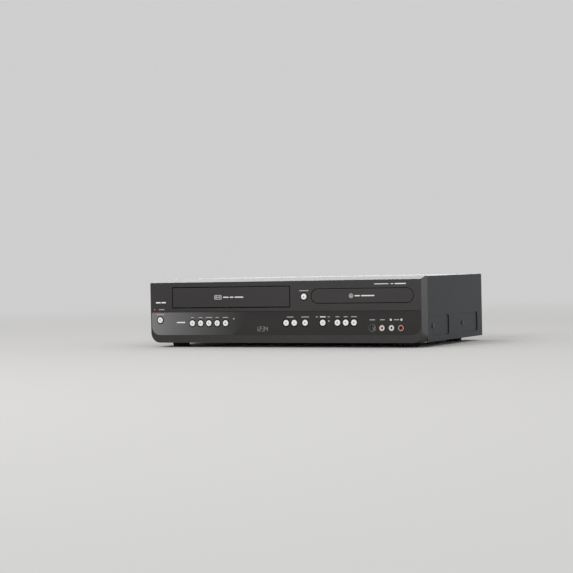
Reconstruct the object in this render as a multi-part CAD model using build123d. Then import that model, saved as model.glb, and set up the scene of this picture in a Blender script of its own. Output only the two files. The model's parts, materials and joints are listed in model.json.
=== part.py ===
from build123d import *
import math
import os

# A table-top player for cassettes and discs, built as separate pieces.
# Millimetres, +Z up, the front faces -Y. The origin is on the table, under the middle of the box.
# In the helpers, y is counted backwards from the front face, x from the middle, z from the table.

# ---------------------------------------------------------------- casing
WIDTH = 435.0  # across the rear edge of the bezel
RIGHT = WIDTH / 2  # the casing's sides: what keeps to one of them is measured from it
LEFT = -RIGHT
HEIGHT = 99.5  # table to the top of the bezel
BODY_DEPTH = 235.0  # front face to the back of the rear panel
FOOT_HEIGHT = 6.8
BEZEL_DEPTH = 17.5
SIDE_FLARE = 2.0  # each bezel side leans out by this much towards the rear
TOP_RISE = 4.5  # the bezel's top climbs by this much towards the rear
FACE_WALL = 3.6
BEZEL_WALL = 2.1
FRONT_CORNER = 15.0  # lower corners of the front face
REAR_CORNER = 9.0  # lower corners of the bezel's rear edge
TOP_CORNER = 1.5
TONGUE_LENGTH = 6.0
TONGUE_WALL = 1.6
COVER_INSET = 0.5  # the steel cover stands this far inside the bezel's rear edge
COVER_SHEET = 0.8
CHASSIS_SHEET = 1.0
PANEL_SHEET = 0.8
CHASSIS_RIM = 34.0
FIT = 0.1  # between pieces that stay together
RUN = 0.3  # between pieces that slide past each other
SHAFT_PLAY = 0.05  # radial play of a shaft in its bearing

# Screw dimples in the cover's sides
DIMPLE_DEPTH = 1.1
DIMPLE_LENGTH = 71.5
DIMPLE_HEIGHT = 30.0
DIMPLE_Z = 29.0
DIMPLE_CORNER = 6.0
DIMPLE_Y = (64.3, BODY_DEPTH - 55.0)
SCREW_SETBACK = 24.0  # side screw, in front of its dimple's middle
SCREW_RADIUS = 1.45
SCREW_HEAD_RADIUS = 3.2
SCREW_HEAD = 1.4
SCREW_LENGTH = 7.0
REAR_SCREW_X = (LEFT + 67.5, 0.0, RIGHT - 21.5)
REAR_SCREW_RISE = 18.0  # over the chassis floor

FOOT_RADIUS = 13.0
FOOT_INSET = 33.5
FOOT_Y = (34.0, BODY_DEPTH - 35.0)

# Where the two sides of the player stand
CASSETTE_X = -81.9
DISC_X = RIGHT - 91.6

# ---------------------------------------------------------------- control window and keys
LIP_HEIGHT = 11.2  # plain strip under the window
WINDOW_HEIGHT = 33.4
WINDOW_SHEET = 1.8
WINDOW_MARGIN = 1.5
WINDOW_CORNER = 13.0
STEP_LINE = 0.6  # shadow line over the window

BUTTON_RADIUS = 4.3
BUTTON_GAP = 0.4
BUTTON_PROUD = 1.2
BUTTON_CROWN = 0.9
BUTTON_TRAVEL = 0.6
BUTTON_FLANGE = 5.3
BUTTON_FLANGE_SHEET = 1.0
STEM_RADIUS = 1.6

UPPER_ROW_Z = 40.0
BUTTON_ROW_Z = 35.3
CASSETTE_KEYS_X = CASSETTE_X - 63.2  # the first of five in a row
CASSETTE_KEY_PITCH = 13.75
CHANNEL_KEYS_X = RIGHT - 209.5
CHANNEL_KEY_PITCH = 12.9
DISC_KEYS_X = RIGHT - 129.1
DISC_KEY_PITCH = 12.7
BUTTONS = {
    "button_standby": (LEFT + 18.1, UPPER_ROW_Z),
    "button_open_close": (DISC_X - 89.1, 72.5),
    "button_rewind": (CASSETTE_KEYS_X, BUTTON_ROW_Z),
    "button_fast_forward": (CASSETTE_KEYS_X + CASSETTE_KEY_PITCH, BUTTON_ROW_Z),
    "button_stop_eject": (CASSETTE_KEYS_X + 2 * CASSETTE_KEY_PITCH, BUTTON_ROW_Z),
    "button_vcr_play": (CASSETTE_KEYS_X + 3 * CASSETTE_KEY_PITCH, BUTTON_ROW_Z),
    "button_vcr_record": (CASSETTE_KEYS_X + 4 * CASSETTE_KEY_PITCH, BUTTON_ROW_Z),
    "button_channel_down": (CHANNEL_KEYS_X, BUTTON_ROW_Z),
    "button_channel_up": (CHANNEL_KEYS_X + CHANNEL_KEY_PITCH, BUTTON_ROW_Z),
    "button_source": (RIGHT - 179.5, BUTTON_ROW_Z),
    "button_dubbing": (RIGHT - 151.9, BUTTON_ROW_Z),
    "button_dvd_stop": (DISC_KEYS_X, BUTTON_ROW_Z),
    "button_dvd_play": (DISC_KEYS_X + DISC_KEY_PITCH, BUTTON_ROW_Z),
    "button_dvd_record": (DISC_KEYS_X + 2 * DISC_KEY_PITCH, BUTTON_ROW_Z),
}
LIGHTS = ((LEFT + 8.7, 55.5), (CASSETTE_X + 5.3, 41.6), (RIGHT - 142.6, 37.6))
LIGHT_RADIUS = 1.2
LIGHT_LENGTH = 11.0

# Front board with its key switches, standing behind the bezel
BOARD = 1.6
FRONT_BOARD_Y = 12.0
FRONT_BOARD_X = (LEFT + 11.5, RIGHT - 18.5)
FRONT_BOARD_LOW = 13.0
FRONT_BOARD_HIGH = 50.0
SWITCH_SIZE = 6.0
SWITCH_DEPTH = 4.3
PLUNGER_RADIUS = 1.75
PLUNGER_LENGTH = 0.7
PRESS_SPARE = 0.1  # left between a stem and its switch when a key is fully in
DISPLAY_X = (RIGHT - 269.5, RIGHT - 230.5)
DISPLAY_Z = (19.6, 34.4)
DISPLAY_BORDER = 4.0
BOARD_BOSS_RADIUS = 3.0
BOARD_BOSS_X = (LEFT + 29.5, RIGHT - 281.5, RIGHT - 165.5, RIGHT - 93.5)
BOARD_BOSS_RISE = 12.5
FRONT_PLUG_X = (LEFT + 47.5, LEFT + 197.5, RIGHT - 157.5, RIGHT - 27.5)
FRONT_PLUG_HALF = 6.0
FRONT_PLUG_RISE = (4.0, 9.0)
FRONT_PLUG_DEPTH = 4.0

# ---------------------------------------------------------------- sockets
PHONO_RADIUS = 4.15
PHONO_WALL = 0.7
PHONO_PIN_HOLE = 1.6
PHONO_HOLE_DEPTH = 10.5
PHONO_COLLAR = 6.0
FRONT_PROUD = 2.0  # front phono barrels stand out by this much
REAR_PROUD = 8.0  # rear phono barrels stand out by this much
PHONO_SETBACK = 0.3  # the insulator ends inside its barrel's mouth
SOCKET_GAP = 0.35
JACK_Z = 27.7
FRONT_JACKS = {
    "video_jack": RIGHT - 60.7,
    "audio_left_jack": RIGHT - 46.4,
    "audio_right_jack": RIGHT - 32.3,
}
SVIDEO_X = RIGHT - 75.9
SVIDEO_RADIUS = 5.9
SVIDEO_BORE = 4.75
SVIDEO_DEPTH = 7.0
SVIDEO_PROUD = 0.5
REAR_JACK_FIRST_X = RIGHT - 117.5
REAR_JACK_PITCH_X = 15.5
REAR_JACK_PITCH_Z = 16.0
REAR_JACK_COLUMNS = 5
REAR_JACK_ROWS = 2
REAR_JACK_DEPTH = 21.0
HDMI_X = RIGHT - 141.5
HDMI_WIDTH = 15.0
HDMI_HEIGHT = 6.0
HDMI_WALL = 0.6
HDMI_DEPTH = 10.0
HDMI_LENGTH = 20.0
HDMI_PROUD = 1.2
CORD_X = LEFT + 29.5
CORD_Z = 30.0
CORD_BORE = 3.2
GLAND_NECK = 5.5
GLAND_FLANGE = 8.0
GLAND_FLANGE_SHEET = 2.5
GLAND_INNER = 7.0

# ---------------------------------------------------------------- cassette side
CASSETTE_WIDTH = 188.0
CASSETTE_HEIGHT = 25.0
CASSETTE_FLOOR = 57.6  # a cassette slides in at this height
CASSETTE_PLAY = 0.6
REEL_SPACING = 92.0
DOOR_SPARE_WIDTH = 3.0
DOOR_HEIGHT = 28.5
DOOR_LOW = 58.5
DOOR_GAP = 1.3
DOOR_SHEET = 2.0
DOOR_PIVOT_Y = 2.2
DOOR_PIVOT_DROP = 1.8  # from the door's top edge
DOOR_KNUCKLE = 1.6
DOOR_PIN = 1.0
DOOR_PIN_LENGTH = 3.0

BASKET_FRONT = 32.0
BASKET_REAR = 80.5
BASKET_SHEET = 1.2
BASKET_LEDGE = 14.0
SLIDER_SHEET = 1.0
SLIDER_FRONT = 48.0
SLIDER_REAR = 66.0
SLIDER_PIN = 1.5
BASKET_TRAVEL = 50.0
BASKET_DROP = 13.0
CARRIAGE_SHEET = 1.5
CARRIAGE_FRONT = 17.0
CARRIAGE_REAR = 120.0
DECK_LOW = 36.0
DECK_SHEET = 1.5
DECK_FRONT = 24.0
DECK_REAR = BODY_DEPTH - 39.0  # in front of the power board
DECK_HALF = 102.0
DECK_POST = 4.0
REEL_Y = 71.0
REEL_RADIUS = 22.0
REEL_DISC = 3.0
REEL_HUB = 8.5
REEL_HUB_TOP = 56.0
REEL_SPINDLE = 1.5

DRUM_Y = 165.0
DRUM_RADIUS = 31.0
DRUM_TILT = 5.0
DRUM_LOWER_HEIGHT = 14.0
DRUM_UPPER_HEIGHT = 14.0
DRUM_GAP = 0.4
DRUM_SHAFT = 3.0
DRUM_BASE_Z = 43.5
DRUM_FOOT_RADIUS = 22.0

CAPSTAN_X = CASSETTE_X + 60.0
CAPSTAN_Y = 142.0
CAPSTAN_RADIUS = 1.5
CAPSTAN_TOP = 66.0
FLYWHEEL_RADIUS = 24.0
FLYWHEEL_LOW = 21.0
FLYWHEEL_HEIGHT = 9.0
STATOR_SHEET = 3.5
PINCH_X = CASSETTE_X + 80.0
PINCH_Y = 160.0
PINCH_ROLLER = 7.0
PINCH_SWING = 28.0
PINCH_LEAN = 45.0  # the roller meets the capstan from this direction
PINCH_PIVOT_PIN = 2.0
PINCH_ROLLER_PIN = 1.5
PINCH_ARM_LOW = 44.0
PINCH_ARM_SHEET = 3.0
PINCH_ROLLER_HEIGHT = 15.5

GUIDE_START = (30.0, 118.0)  # from the cassette's middle, and back from the front
GUIDE_END = (42.0, 166.0)
GUIDE_STUD = 2.2
GUIDE_BLOCK = 4.5
GUIDE_ROLLER = 3.2
GUIDE_TOP = 69.0
HEAD_OFFSET = 50.0
HEAD_Y = 150.0
HEAD_SIZE = 7.0
LOADING_MOTOR_X = CASSETTE_X - 84.0
LOADING_MOTOR_Y = 172.0
LOADING_MOTOR_RADIUS = 12.0
LOADING_MOTOR_HEIGHT = 27.0

# ---------------------------------------------------------------- disc side
DISC_Y = 78.0
DISC_RADIUS = 60.0
TRAY_FRONT_WIDTH = 155.4
TRAY_FRONT_HEIGHT = 19.8
TRAY_FRONT_Z = 72.9
TRAY_FRONT_SHEET = 3.0
TRAY_GAP = 0.8
TRAY_WIDTH = 138.0
TRAY_LENGTH = 169.0
TRAY_LOW = 67.5
TRAY_SHEET = 5.5
TRAY_SLOT = 46.0
TRAY_TRAVEL = 138.0
DRIVE_WALL = 2.6
DRIVE_PLAY = 0.4
DRIVE_LEDGE = 4.9
DRIVE_FRONT = 14.0
DRIVE_REAR = 188.0
DRIVE_FLOOR = 50.0
DRIVE_FLOOR_SHEET = 2.5
DRIVE_LEDGE_LOW = 63.0
DRIVE_TOP = 75.5
DRIVE_POST = 3.5
DRIVE_POST_SETBACK = 16.0
BRIDGE_LOW = 79.0
BRIDGE_SHEET = 2.0
BRIDGE_HALF = 19.0
CLAMP_NECK = 12.0
CLAMP_FLANGE = 15.0
CLAMP_DISC = 16.0
CLAMP_LOW = 74.6
DISC_RECESS = 3.0
DISC_LIFT = 1.2  # the raised turntable carries the disc this far off the tray
TRAVERSE_LIFT = 7.0
TRAVERSE_HALF = 43.0
TRAVERSE_FRONT = 47.0
TRAVERSE_REAR = 168.0
TRAVERSE_LOW = 53.5
TRAVERSE_SHEET = 4.5
TRAVERSE_EAR = 6.0
SLED_WINDOW_HALF = 28.0
SLED_WINDOW_FRONT = 84.0
SLED_FRONT = 86.0
SLED_LENGTH = 30.0
SLED_HALF = 27.0
SLED_LOW = 54.0
SLED_SHEET = 6.0
SLED_TRAVEL = 34.0
SLED_END_GAP = 8.0  # left in its window behind the sled at the end of its travel
ROD_OFFSET = 22.0
ROD_RADIUS = 1.5
ROD_Z = 56.6
LENS_RADIUS = 4.0
LENS_RISE = 2.4
SPINDLE_RADIUS = 1.5
SPINDLE_MOTOR = 12.0
SPINDLE_MOTOR_HEIGHT = 3.8
TURNTABLE_RADIUS = 15.0
TURNTABLE_SHEET = 2.0
CENTRING_RADIUS = 7.4
CENTRING_HEIGHT = 2.4

GEAR_MODULE = 1.0
GEAR_TEETH = 18
GEAR_BACKLASH = 0.3
GEAR_Y = 30.0
GEAR_PIN = 2.0
RACK_LINE = 58.5  # the rack's pitch line, outwards from the tray's middle
RACK_BACK = 3.0
RACK_DEPTH = 3.9
GEAR_PULLEY = 11.0
MOTOR_OFFSET = 14.0
MOTOR_RADIUS = 9.0
MOTOR_LENGTH = 14.0
MOTOR_PULLEY = 3.5
PULLEY_LOW = 54.0
PULLEY_HEIGHT = 3.0
BELT = 0.9

# ---------------------------------------------------------------- boards
MAIN_BOARD_X = (RIGHT - 153.5, RIGHT - 27.5)
MAIN_BOARD_Y = (34.0, BODY_DEPTH - 9.0)
POWER_BOARD_X = (LEFT + 11.5, LEFT + 173.5)
POWER_BOARD_Y = (BODY_DEPTH - 34.0, BODY_DEPTH - 5.0)
BOARD_Z = 16.0
BOARD_POST = 3.0
BOARD_POST_INSET = 5.0
# Parts on the main board: x and y limits from its corner, and height
MAIN_CHIPS = (
    ((32, 62), (58, 88), 2.0),
    ((36, 58), (62, 84), 9.0),
    ((70, 88), (62, 74), 1.4),
    ((70, 88), (78, 90), 1.4),
    ((26, 40), (106, 120), 1.6),
    ((86, 114), (116, 124), 10.0),
    ((8, 20), (26, 66), 7.0),
)
MAIN_CAPS = ((101, 36), (112, 36), (101, 50), (112, 50), (56, 136), (68, 136))
MAIN_CAP = (4.0, 11.0)  # radius and height
# Parts on the power board: x and y limits from its corner, and the heights between which they stand
POWER_BLOCKS = (
    ((56, 88), (4, 26), (0, 17)),
    ((62, 82), (2, 28), (3, 14)),
    ((106, 146), (13, 15), (0, 17)),
    ((109, 119), (8.5, 13), (0, 14)),
    ((121, 131), (8.5, 13), (0, 14)),
    ((133, 143), (8.5, 13), (0, 14)),
    ((10, 28), (5, 17), (0, 12)),
)
POWER_CAPS = ((40, 9, 17), (98, 5, 16), (154, 5, 15))  # x, radius and height
POWER_CAP_Y = 13.0
VENT_SIZE = (30.0, 4.0)
VENT_X = (-36.0, 4.0, 44.0)  # from the drive's middle
VENT_Y = (80, 150, 10)  # first, past the last, and pitch

# ---------------------------------------------------------------- worked out from the values above
FACE_Y = (FRONT_PROUD - BODY_DEPTH - REAR_PROUD) / 2
FRONT_HALF = WIDTH / 2 - SIDE_FLARE
FRONT_TOP = HEIGHT - TOP_RISE
COVER_HALF = WIDTH / 2 - COVER_INSET
COVER_TOP = HEIGHT - COVER_INSET
RIM_HALF = COVER_HALF - DIMPLE_DEPTH - COVER_SHEET - FIT
TONGUE_HALF = RIM_HALF - CHASSIS_SHEET - FIT
TONGUE_LOW = FOOT_HEIGHT + CHASSIS_SHEET + FIT
TONGUE_TOP = COVER_TOP - COVER_SHEET - FIT
FLOOR_TOP = FOOT_HEIGHT + CHASSIS_SHEET
PANEL_Y = BODY_DEPTH - PANEL_SHEET
WINDOW_LOW = FOOT_HEIGHT + LIP_HEIGHT
WINDOW_TOP = WINDOW_LOW + WINDOW_HEIGHT
DOOR_HALF = (CASSETTE_WIDTH + DOOR_SPARE_WIDTH) / 2
DOOR_TOP = DOOR_LOW + DOOR_HEIGHT
DOOR_PIVOT_Z = DOOR_TOP - DOOR_PIVOT_DROP
BASKET_INNER = CASSETTE_WIDTH / 2 + CASSETTE_PLAY
BASKET_OUTER = BASKET_INNER + BASKET_SHEET
BASKET_ROOF = CASSETTE_FLOOR + CASSETTE_HEIGHT + CASSETTE_PLAY
SLIDER_INNER = BASKET_OUTER + RUN
SLIDER_OUTER = SLIDER_INNER + SLIDER_SHEET
SLIDER_TOP = BASKET_ROOF + BASKET_SHEET + RUN
CARRIAGE_INNER = SLIDER_OUTER + RUN
CARRIAGE_OUTER = CARRIAGE_INNER + CARRIAGE_SHEET
CARRIAGE_TOP = SLIDER_TOP + BASKET_SHEET + RUN
SLIDER_PIN_Z = BASKET_ROOF - 3
DECK_TOP = DECK_LOW + DECK_SHEET
TRAY_HALF = TRAY_WIDTH / 2
TRAY_TOP = TRAY_LOW + TRAY_SHEET
TURNTABLE_LOW = TRAY_TOP - DISC_RECESS + DISC_LIFT - TURNTABLE_SHEET - TRAVERSE_LIFT
SLED_WINDOW_REAR = SLED_FRONT + SLED_LENGTH + SLED_TRAVEL + SLED_END_GAP
DRIVE_INNER = TRAY_HALF + DRIVE_PLAY
DRIVE_HALF = DRIVE_INNER + DRIVE_WALL
DRIVE_FLOOR_TOP = DRIVE_FLOOR + DRIVE_FLOOR_SHEET
GEAR_RADIUS = GEAR_MODULE * GEAR_TEETH / 2
GEAR_X = DISC_X - RACK_LINE + GEAR_RADIUS
BOARD_TOP = BOARD_Z + BOARD
HDMI_Z = BOARD_TOP + HDMI_HEIGHT / 2
DISPLAY_OPENING_X = (DISPLAY_X[0] + DISPLAY_BORDER, DISPLAY_X[1] - DISPLAY_BORDER)
DISPLAY_OPENING_Z = (DISPLAY_Z[0] + 1, DISPLAY_Z[1] - 1)
STEM_END = FRONT_BOARD_Y - SWITCH_DEPTH - PLUNGER_LENGTH - BUTTON_TRAVEL - PRESS_SPARE


# ---------------------------------------------------------------- shape helpers
def block(x, y, z):
    """A box between pairs of limits (low, high)."""
    size = [high - low for low, high in (x, y, z)]
    return Pos(sum(x) / 2, FACE_Y + sum(y) / 2, sum(z) / 2) * Box(*size)


def about(middle, half):
    """The pair of limits that lie half a width to each side of a middle."""
    return middle - half, middle + half


def upright(x, y, z, radius):
    """A cylinder that stands between two heights."""
    return Pos(x, FACE_Y + y, sum(z) / 2) * Cylinder(radius, z[1] - z[0])


def forward(x, y, z, radius):
    """A cylinder that lies from front to back between two depths."""
    return Pos(x, FACE_Y + sum(y) / 2, z) * Rot(90, 0, 0) * Cylinder(radius, y[1] - y[0])


def crosswise(x, y, z, radius):
    """A cylinder that lies from side to side between two places."""
    return Pos(sum(x) / 2, FACE_Y + y, z) * Rot(0, 90, 0) * Cylinder(radius, x[1] - x[0])


def front_plate(sketch, x, y, z):
    """A sketch of width and height, standing upright and given its depth."""
    return Pos(x, FACE_Y + y[1], z) * Rot(90, 0, 0) * extrude(sketch, y[1] - y[0])


def outline(half, z, low_radius, high_radius):
    """An upright outline with its own radius for the lower and for the upper corners."""
    sheet = Rectangle(2 * half, z[1] - z[0])
    sheet = fillet(sheet.vertices().sort_by(Axis.Y)[:2], low_radius)
    return fillet(sheet.vertices().sort_by(Axis.Y)[-2:], high_radius)


def place_outline(half, z, low_radius, high_radius, y):
    """The outline above at its height and depth."""
    sheet = outline(half, z, low_radius, high_radius)
    return Pos(0, FACE_Y + y, sum(z) / 2) * Rot(90, 0, 0) * sheet


def side(x0, x1, sign, middle=0.0):
    """Limits x0 to x1 outwards from a middle, on the side that sign names."""
    return tuple(sorted((middle + sign * x0, middle + sign * x1)))


# ---------------------------------------------------------------- casing
def front_bezel():
    rear_low, rear_top = TONGUE_LOW + TONGUE_WALL, TONGUE_TOP - TONGUE_WALL
    inner_half = TONGUE_HALF - TONGUE_WALL
    shell = loft(
        [
            place_outline(FRONT_HALF, (FOOT_HEIGHT, FRONT_TOP), FRONT_CORNER, TOP_CORNER, 0),
            place_outline(WIDTH / 2, (FOOT_HEIGHT, HEIGHT), REAR_CORNER, TOP_CORNER, BEZEL_DEPTH),
        ],
        ruled=True,
    )
    tongue = front_plate(
        outline(TONGUE_HALF, (TONGUE_LOW, TONGUE_TOP), REAR_CORNER, TOP_CORNER),
        0,
        (BEZEL_DEPTH, BEZEL_DEPTH + TONGUE_LENGTH),
        (TONGUE_LOW + TONGUE_TOP) / 2,
    )
    corner = REAR_CORNER - TONGUE_WALL
    hollow_front = loft(
        [
            place_outline(
                inner_half, (rear_low, FRONT_TOP - BEZEL_WALL), FRONT_CORNER - BEZEL_WALL, 1, FACE_WALL
            ),
            place_outline(inner_half, (rear_low, rear_top), corner, 1, BEZEL_DEPTH),
        ],
        ruled=True,
    )
    hollow_rear = front_plate(
        outline(inner_half, (rear_low, rear_top), corner, 1),
        0,
        (BEZEL_DEPTH, BEZEL_DEPTH + TONGUE_LENGTH),
        (rear_low + rear_top) / 2,
    )
    bezel = shell + tongue - hollow_front - hollow_rear

    # hinge bosses of the cassette door, and bosses for the front board
    door_edge = DOOR_HALF + DOOR_GAP
    for sign in (1, -1):
        bezel += block(
            side(door_edge, door_edge + DOOR_PIN_LENGTH + 2, sign, CASSETTE_X),
            (FACE_WALL, FACE_WALL + 1.2),
            about(DOOR_PIVOT_Z, 2.5),
        )
    boss_z = FOOT_HEIGHT + BOARD_BOSS_RISE
    for x in BOARD_BOSS_X:
        bezel += forward(x, (FACE_WALL, FRONT_BOARD_Y), boss_z, BOARD_BOSS_RADIUS)

    # openings
    through = (-1, FACE_WALL + 1)
    bezel -= block(
        about(CASSETTE_X, door_edge), (-1, FACE_WALL + 1.3), (DOOR_LOW - DOOR_GAP, DOOR_TOP + DOOR_GAP)
    )
    bezel -= crosswise(
        about(CASSETTE_X, DOOR_HALF + DOOR_GAP + DOOR_PIN_LENGTH + RUN),
        DOOR_PIVOT_Y,
        DOOR_PIVOT_Z,
        DOOR_PIN + SHAFT_PLAY,
    )
    bezel -= front_plate(
        SlotOverall(TRAY_FRONT_WIDTH + 2 * TRAY_GAP, TRAY_FRONT_HEIGHT + 2 * TRAY_GAP),
        DISC_X,
        through,
        TRAY_FRONT_Z,
    )
    bezel -= front_plate(
        outline(
            FRONT_HALF - WINDOW_MARGIN + FIT,
            (WINDOW_LOW - FIT, WINDOW_TOP + STEP_LINE),
            WINDOW_CORNER + FIT,
            TOP_CORNER,
        ),
        0,
        (-1, WINDOW_SHEET),
        (WINDOW_LOW - FIT + WINDOW_TOP + STEP_LINE) / 2,
    )
    bezel -= block(DISPLAY_OPENING_X, through, DISPLAY_OPENING_Z)
    return bezel - front_holes(through)


def front_holes(depth):
    """Holes for the keys, the lights and the sockets, shared by the bezel and the window."""
    holes = [forward(x, depth, z, BUTTON_RADIUS + BUTTON_GAP) for x, z in BUTTONS.values()]
    holes += [forward(x, depth, z, LIGHT_RADIUS + FIT) for x, z in LIGHTS]
    holes += [forward(x, depth, JACK_Z, PHONO_RADIUS + SOCKET_GAP) for x in FRONT_JACKS.values()]
    holes.append(forward(SVIDEO_X, depth, JACK_Z, SVIDEO_RADIUS + SOCKET_GAP))
    return Part() + holes


def control_window():
    sheet = outline(FRONT_HALF - WINDOW_MARGIN, (WINDOW_LOW, WINDOW_TOP), WINDOW_CORNER, TOP_CORNER)
    window = front_plate(sheet, 0, (0, WINDOW_SHEET), (WINDOW_LOW + WINDOW_TOP) / 2)
    return window - front_holes((-1, WINDOW_SHEET + 1))


def dimple(sign, x, grow=0.0):
    """One pressed patch of a cover side, between two distances from the middle."""
    sheet = RectangleRounded(DIMPLE_LENGTH + 2 * grow, DIMPLE_HEIGHT + 2 * grow, DIMPLE_CORNER + grow)
    patch = Plane.YZ * extrude(sheet, x[1] - x[0])
    return Part() + [Pos(side(*x, sign)[0], FACE_Y + y, DIMPLE_Z) * patch for y in DIMPLE_Y]


def side_screw_holes(radius):
    holes = Part()
    for y in DIMPLE_Y:
        reach = RIM_HALF - 2 * CHASSIS_SHEET, WIDTH / 2 + 1
        for sign in (1, -1):
            holes += crosswise(side(*reach, sign), y - SCREW_SETBACK, DIMPLE_Z, radius)
    return holes


def top_cover():
    length = (BEZEL_DEPTH + FIT, BODY_DEPTH)
    low = FOOT_HEIGHT + RUN
    cover = block(about(0, COVER_HALF), length, (low, COVER_TOP))
    edges = cover.edges().filter_by(Axis.Y).sort_by(Axis.Z)[-2:]
    cover = fillet(edges, 2 * COVER_SHEET)
    inner = COVER_HALF - COVER_SHEET
    hollow = block(about(0, inner), (0, BODY_DEPTH + 1), (0, COVER_TOP - COVER_SHEET))
    edges = hollow.edges().filter_by(Axis.Y).sort_by(Axis.Z)[-2:]
    cover -= fillet(edges, COVER_SHEET)
    for sign in (1, -1):
        cover += dimple(sign, (inner - DIMPLE_DEPTH, inner))
        cover -= dimple(sign, (COVER_HALF - DIMPLE_DEPTH, COVER_HALF + 1), -COVER_SHEET)
    return cover - side_screw_holes(SCREW_RADIUS + FIT)


def board_posts(x, y):
    """Four posts under the corners of a flat board."""
    inset = BOARD_POST_INSET
    spots = [(a, b) for a in (x[0] + inset, x[1] - inset) for b in (y[0] + inset, y[1] - inset)]
    return [upright(a, b, (FLOOR_TOP, BOARD_Z), BOARD_POST) for a, b in spots]


def bottom_chassis():
    front = BEZEL_DEPTH + FIT
    chassis = block(about(0, RIM_HALF), (front, BODY_DEPTH), (FOOT_HEIGHT, FLOOR_TOP))
    for sign in (1, -1):
        rim = block(
            side(RIM_HALF - CHASSIS_SHEET, RIM_HALF, sign), (front, PANEL_Y - FIT), (FLOOR_TOP, CHASSIS_RIM)
        )
        chassis += rim
    lip = (PANEL_Y - FIT - CHASSIS_SHEET, PANEL_Y - FIT)
    for x in REAR_SCREW_X:
        chassis += block(about(x, 8), lip, (FLOOR_TOP, CHASSIS_RIM))

    chassis -= side_screw_holes(SCREW_RADIUS + FIT)
    chassis -= rear_screw_holes(SCREW_RADIUS + FIT)
    vent = extrude(SlotOverall(*VENT_SIZE), CHASSIS_SHEET + 2)
    return chassis - [
        Pos(DISC_X + x, FACE_Y + y, FOOT_HEIGHT - 1) * vent for x in VENT_X for y in range(*VENT_Y)
    ]


def standoffs():
    """Posts on the chassis under the cassette deck, the disc drive and the two flat boards."""
    posts = []
    for sign in (1, -1):
        x = CASSETTE_X + sign * (DECK_HALF - 2 * DECK_POST)
        for y in (DECK_FRONT + 2 * DECK_POST, DECK_REAR - 2 * DECK_POST):
            posts.append(upright(x, y, (FLOOR_TOP, DECK_LOW), DECK_POST))
        x = DISC_X + sign * (DRIVE_HALF - DRIVE_POST)
        for y in (DRIVE_FRONT + DRIVE_POST_SETBACK, DRIVE_REAR - DRIVE_POST_SETBACK):
            posts.append(upright(x, y, (FLOOR_TOP, DRIVE_FLOOR), DRIVE_POST))
    return posts + board_posts(MAIN_BOARD_X, MAIN_BOARD_Y) + board_posts(POWER_BOARD_X, POWER_BOARD_Y)


def rear_screw_holes(radius):
    z = FLOOR_TOP + REAR_SCREW_RISE
    return Part() + [forward(x, (PANEL_Y - 4, BODY_DEPTH + 1), z, radius) for x in REAR_SCREW_X]


def rear_jack_spots():
    spots = []
    for column in range(REAR_JACK_COLUMNS):
        for row in range(REAR_JACK_ROWS):
            x = REAR_JACK_FIRST_X + column * REAR_JACK_PITCH_X
            z = BOARD_TOP + (row + 0.5) * REAR_JACK_PITCH_Z
            spots.append((x, z))
    return spots


def rear_panel():
    half = RIM_HALF
    panel = block(about(0, half), (PANEL_Y, BODY_DEPTH), (FLOOR_TOP, COVER_TOP - COVER_SHEET - FIT))
    through = (PANEL_Y - 1, BODY_DEPTH + 1)
    panel -= [forward(x, through, z, PHONO_RADIUS + SOCKET_GAP) for x, z in rear_jack_spots()]
    panel -= block(
        about(HDMI_X, HDMI_WIDTH / 2 + SOCKET_GAP), through, about(HDMI_Z, HDMI_HEIGHT / 2 + SOCKET_GAP)
    )
    panel -= forward(CORD_X, through, CORD_Z, GLAND_NECK + FIT)
    return panel - rear_screw_holes(SCREW_RADIUS + FIT)


def feet():
    pads = []
    for x in (LEFT + FOOT_INSET, RIGHT - FOOT_INSET):
        for y in FOOT_Y:
            cup = Pos(x, FACE_Y + y, FOOT_HEIGHT / 2) * Cone(FOOT_RADIUS - 1.5, FOOT_RADIUS, FOOT_HEIGHT)
            pads.append(cup - upright(x, y, (-1, 1), FOOT_RADIUS / 2))
    return pads


def screw(axis_place):
    """A pan head screw along +Z of the given place, with its head's seat at the place."""
    head = Pos(0, 0, SCREW_HEAD / 2) * Cylinder(SCREW_HEAD_RADIUS, SCREW_HEAD)
    head = fillet(head.edges().sort_by(Axis.Z)[-1], SCREW_HEAD / 2)
    shank = Pos(0, 0, -SCREW_LENGTH / 2) * Cylinder(SCREW_RADIUS, SCREW_LENGTH)
    slot = Box(3.6, 0.8, SCREW_HEAD) + Box(0.8, 3.6, SCREW_HEAD)
    return axis_place * (head + shank - Pos(0, 0, SCREW_HEAD) * slot)


def cover_screws():
    screws = []
    seat = COVER_HALF - DIMPLE_DEPTH
    for y in DIMPLE_Y:
        for sign in (1, -1):
            place = Pos(sign * seat, FACE_Y + y - SCREW_SETBACK, DIMPLE_Z) * Rot(0, sign * 90, 0)
            screws.append(screw(place))
    for x in REAR_SCREW_X:
        place = Pos(x, FACE_Y + BODY_DEPTH, FLOOR_TOP + REAR_SCREW_RISE) * Rot(-90, 0, 0)
        screws.append(screw(place))
    return screws


def cord_gland():
    flange = forward(CORD_X, (BODY_DEPTH, BODY_DEPTH + GLAND_FLANGE_SHEET), CORD_Z, GLAND_FLANGE)
    flange = fillet(flange.edges().sort_by(Axis.Y)[-1], 1)
    neck = forward(CORD_X, (PANEL_Y - GLAND_INNER, BODY_DEPTH), CORD_Z, GLAND_NECK)
    rib = forward(CORD_X, (PANEL_Y - 2, PANEL_Y), CORD_Z, GLAND_NECK + 1)
    bore = forward(CORD_X, (PANEL_Y - GLAND_INNER - 1, BODY_DEPTH + 9), CORD_Z, CORD_BORE)
    return flange + neck + rib - bore


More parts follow.
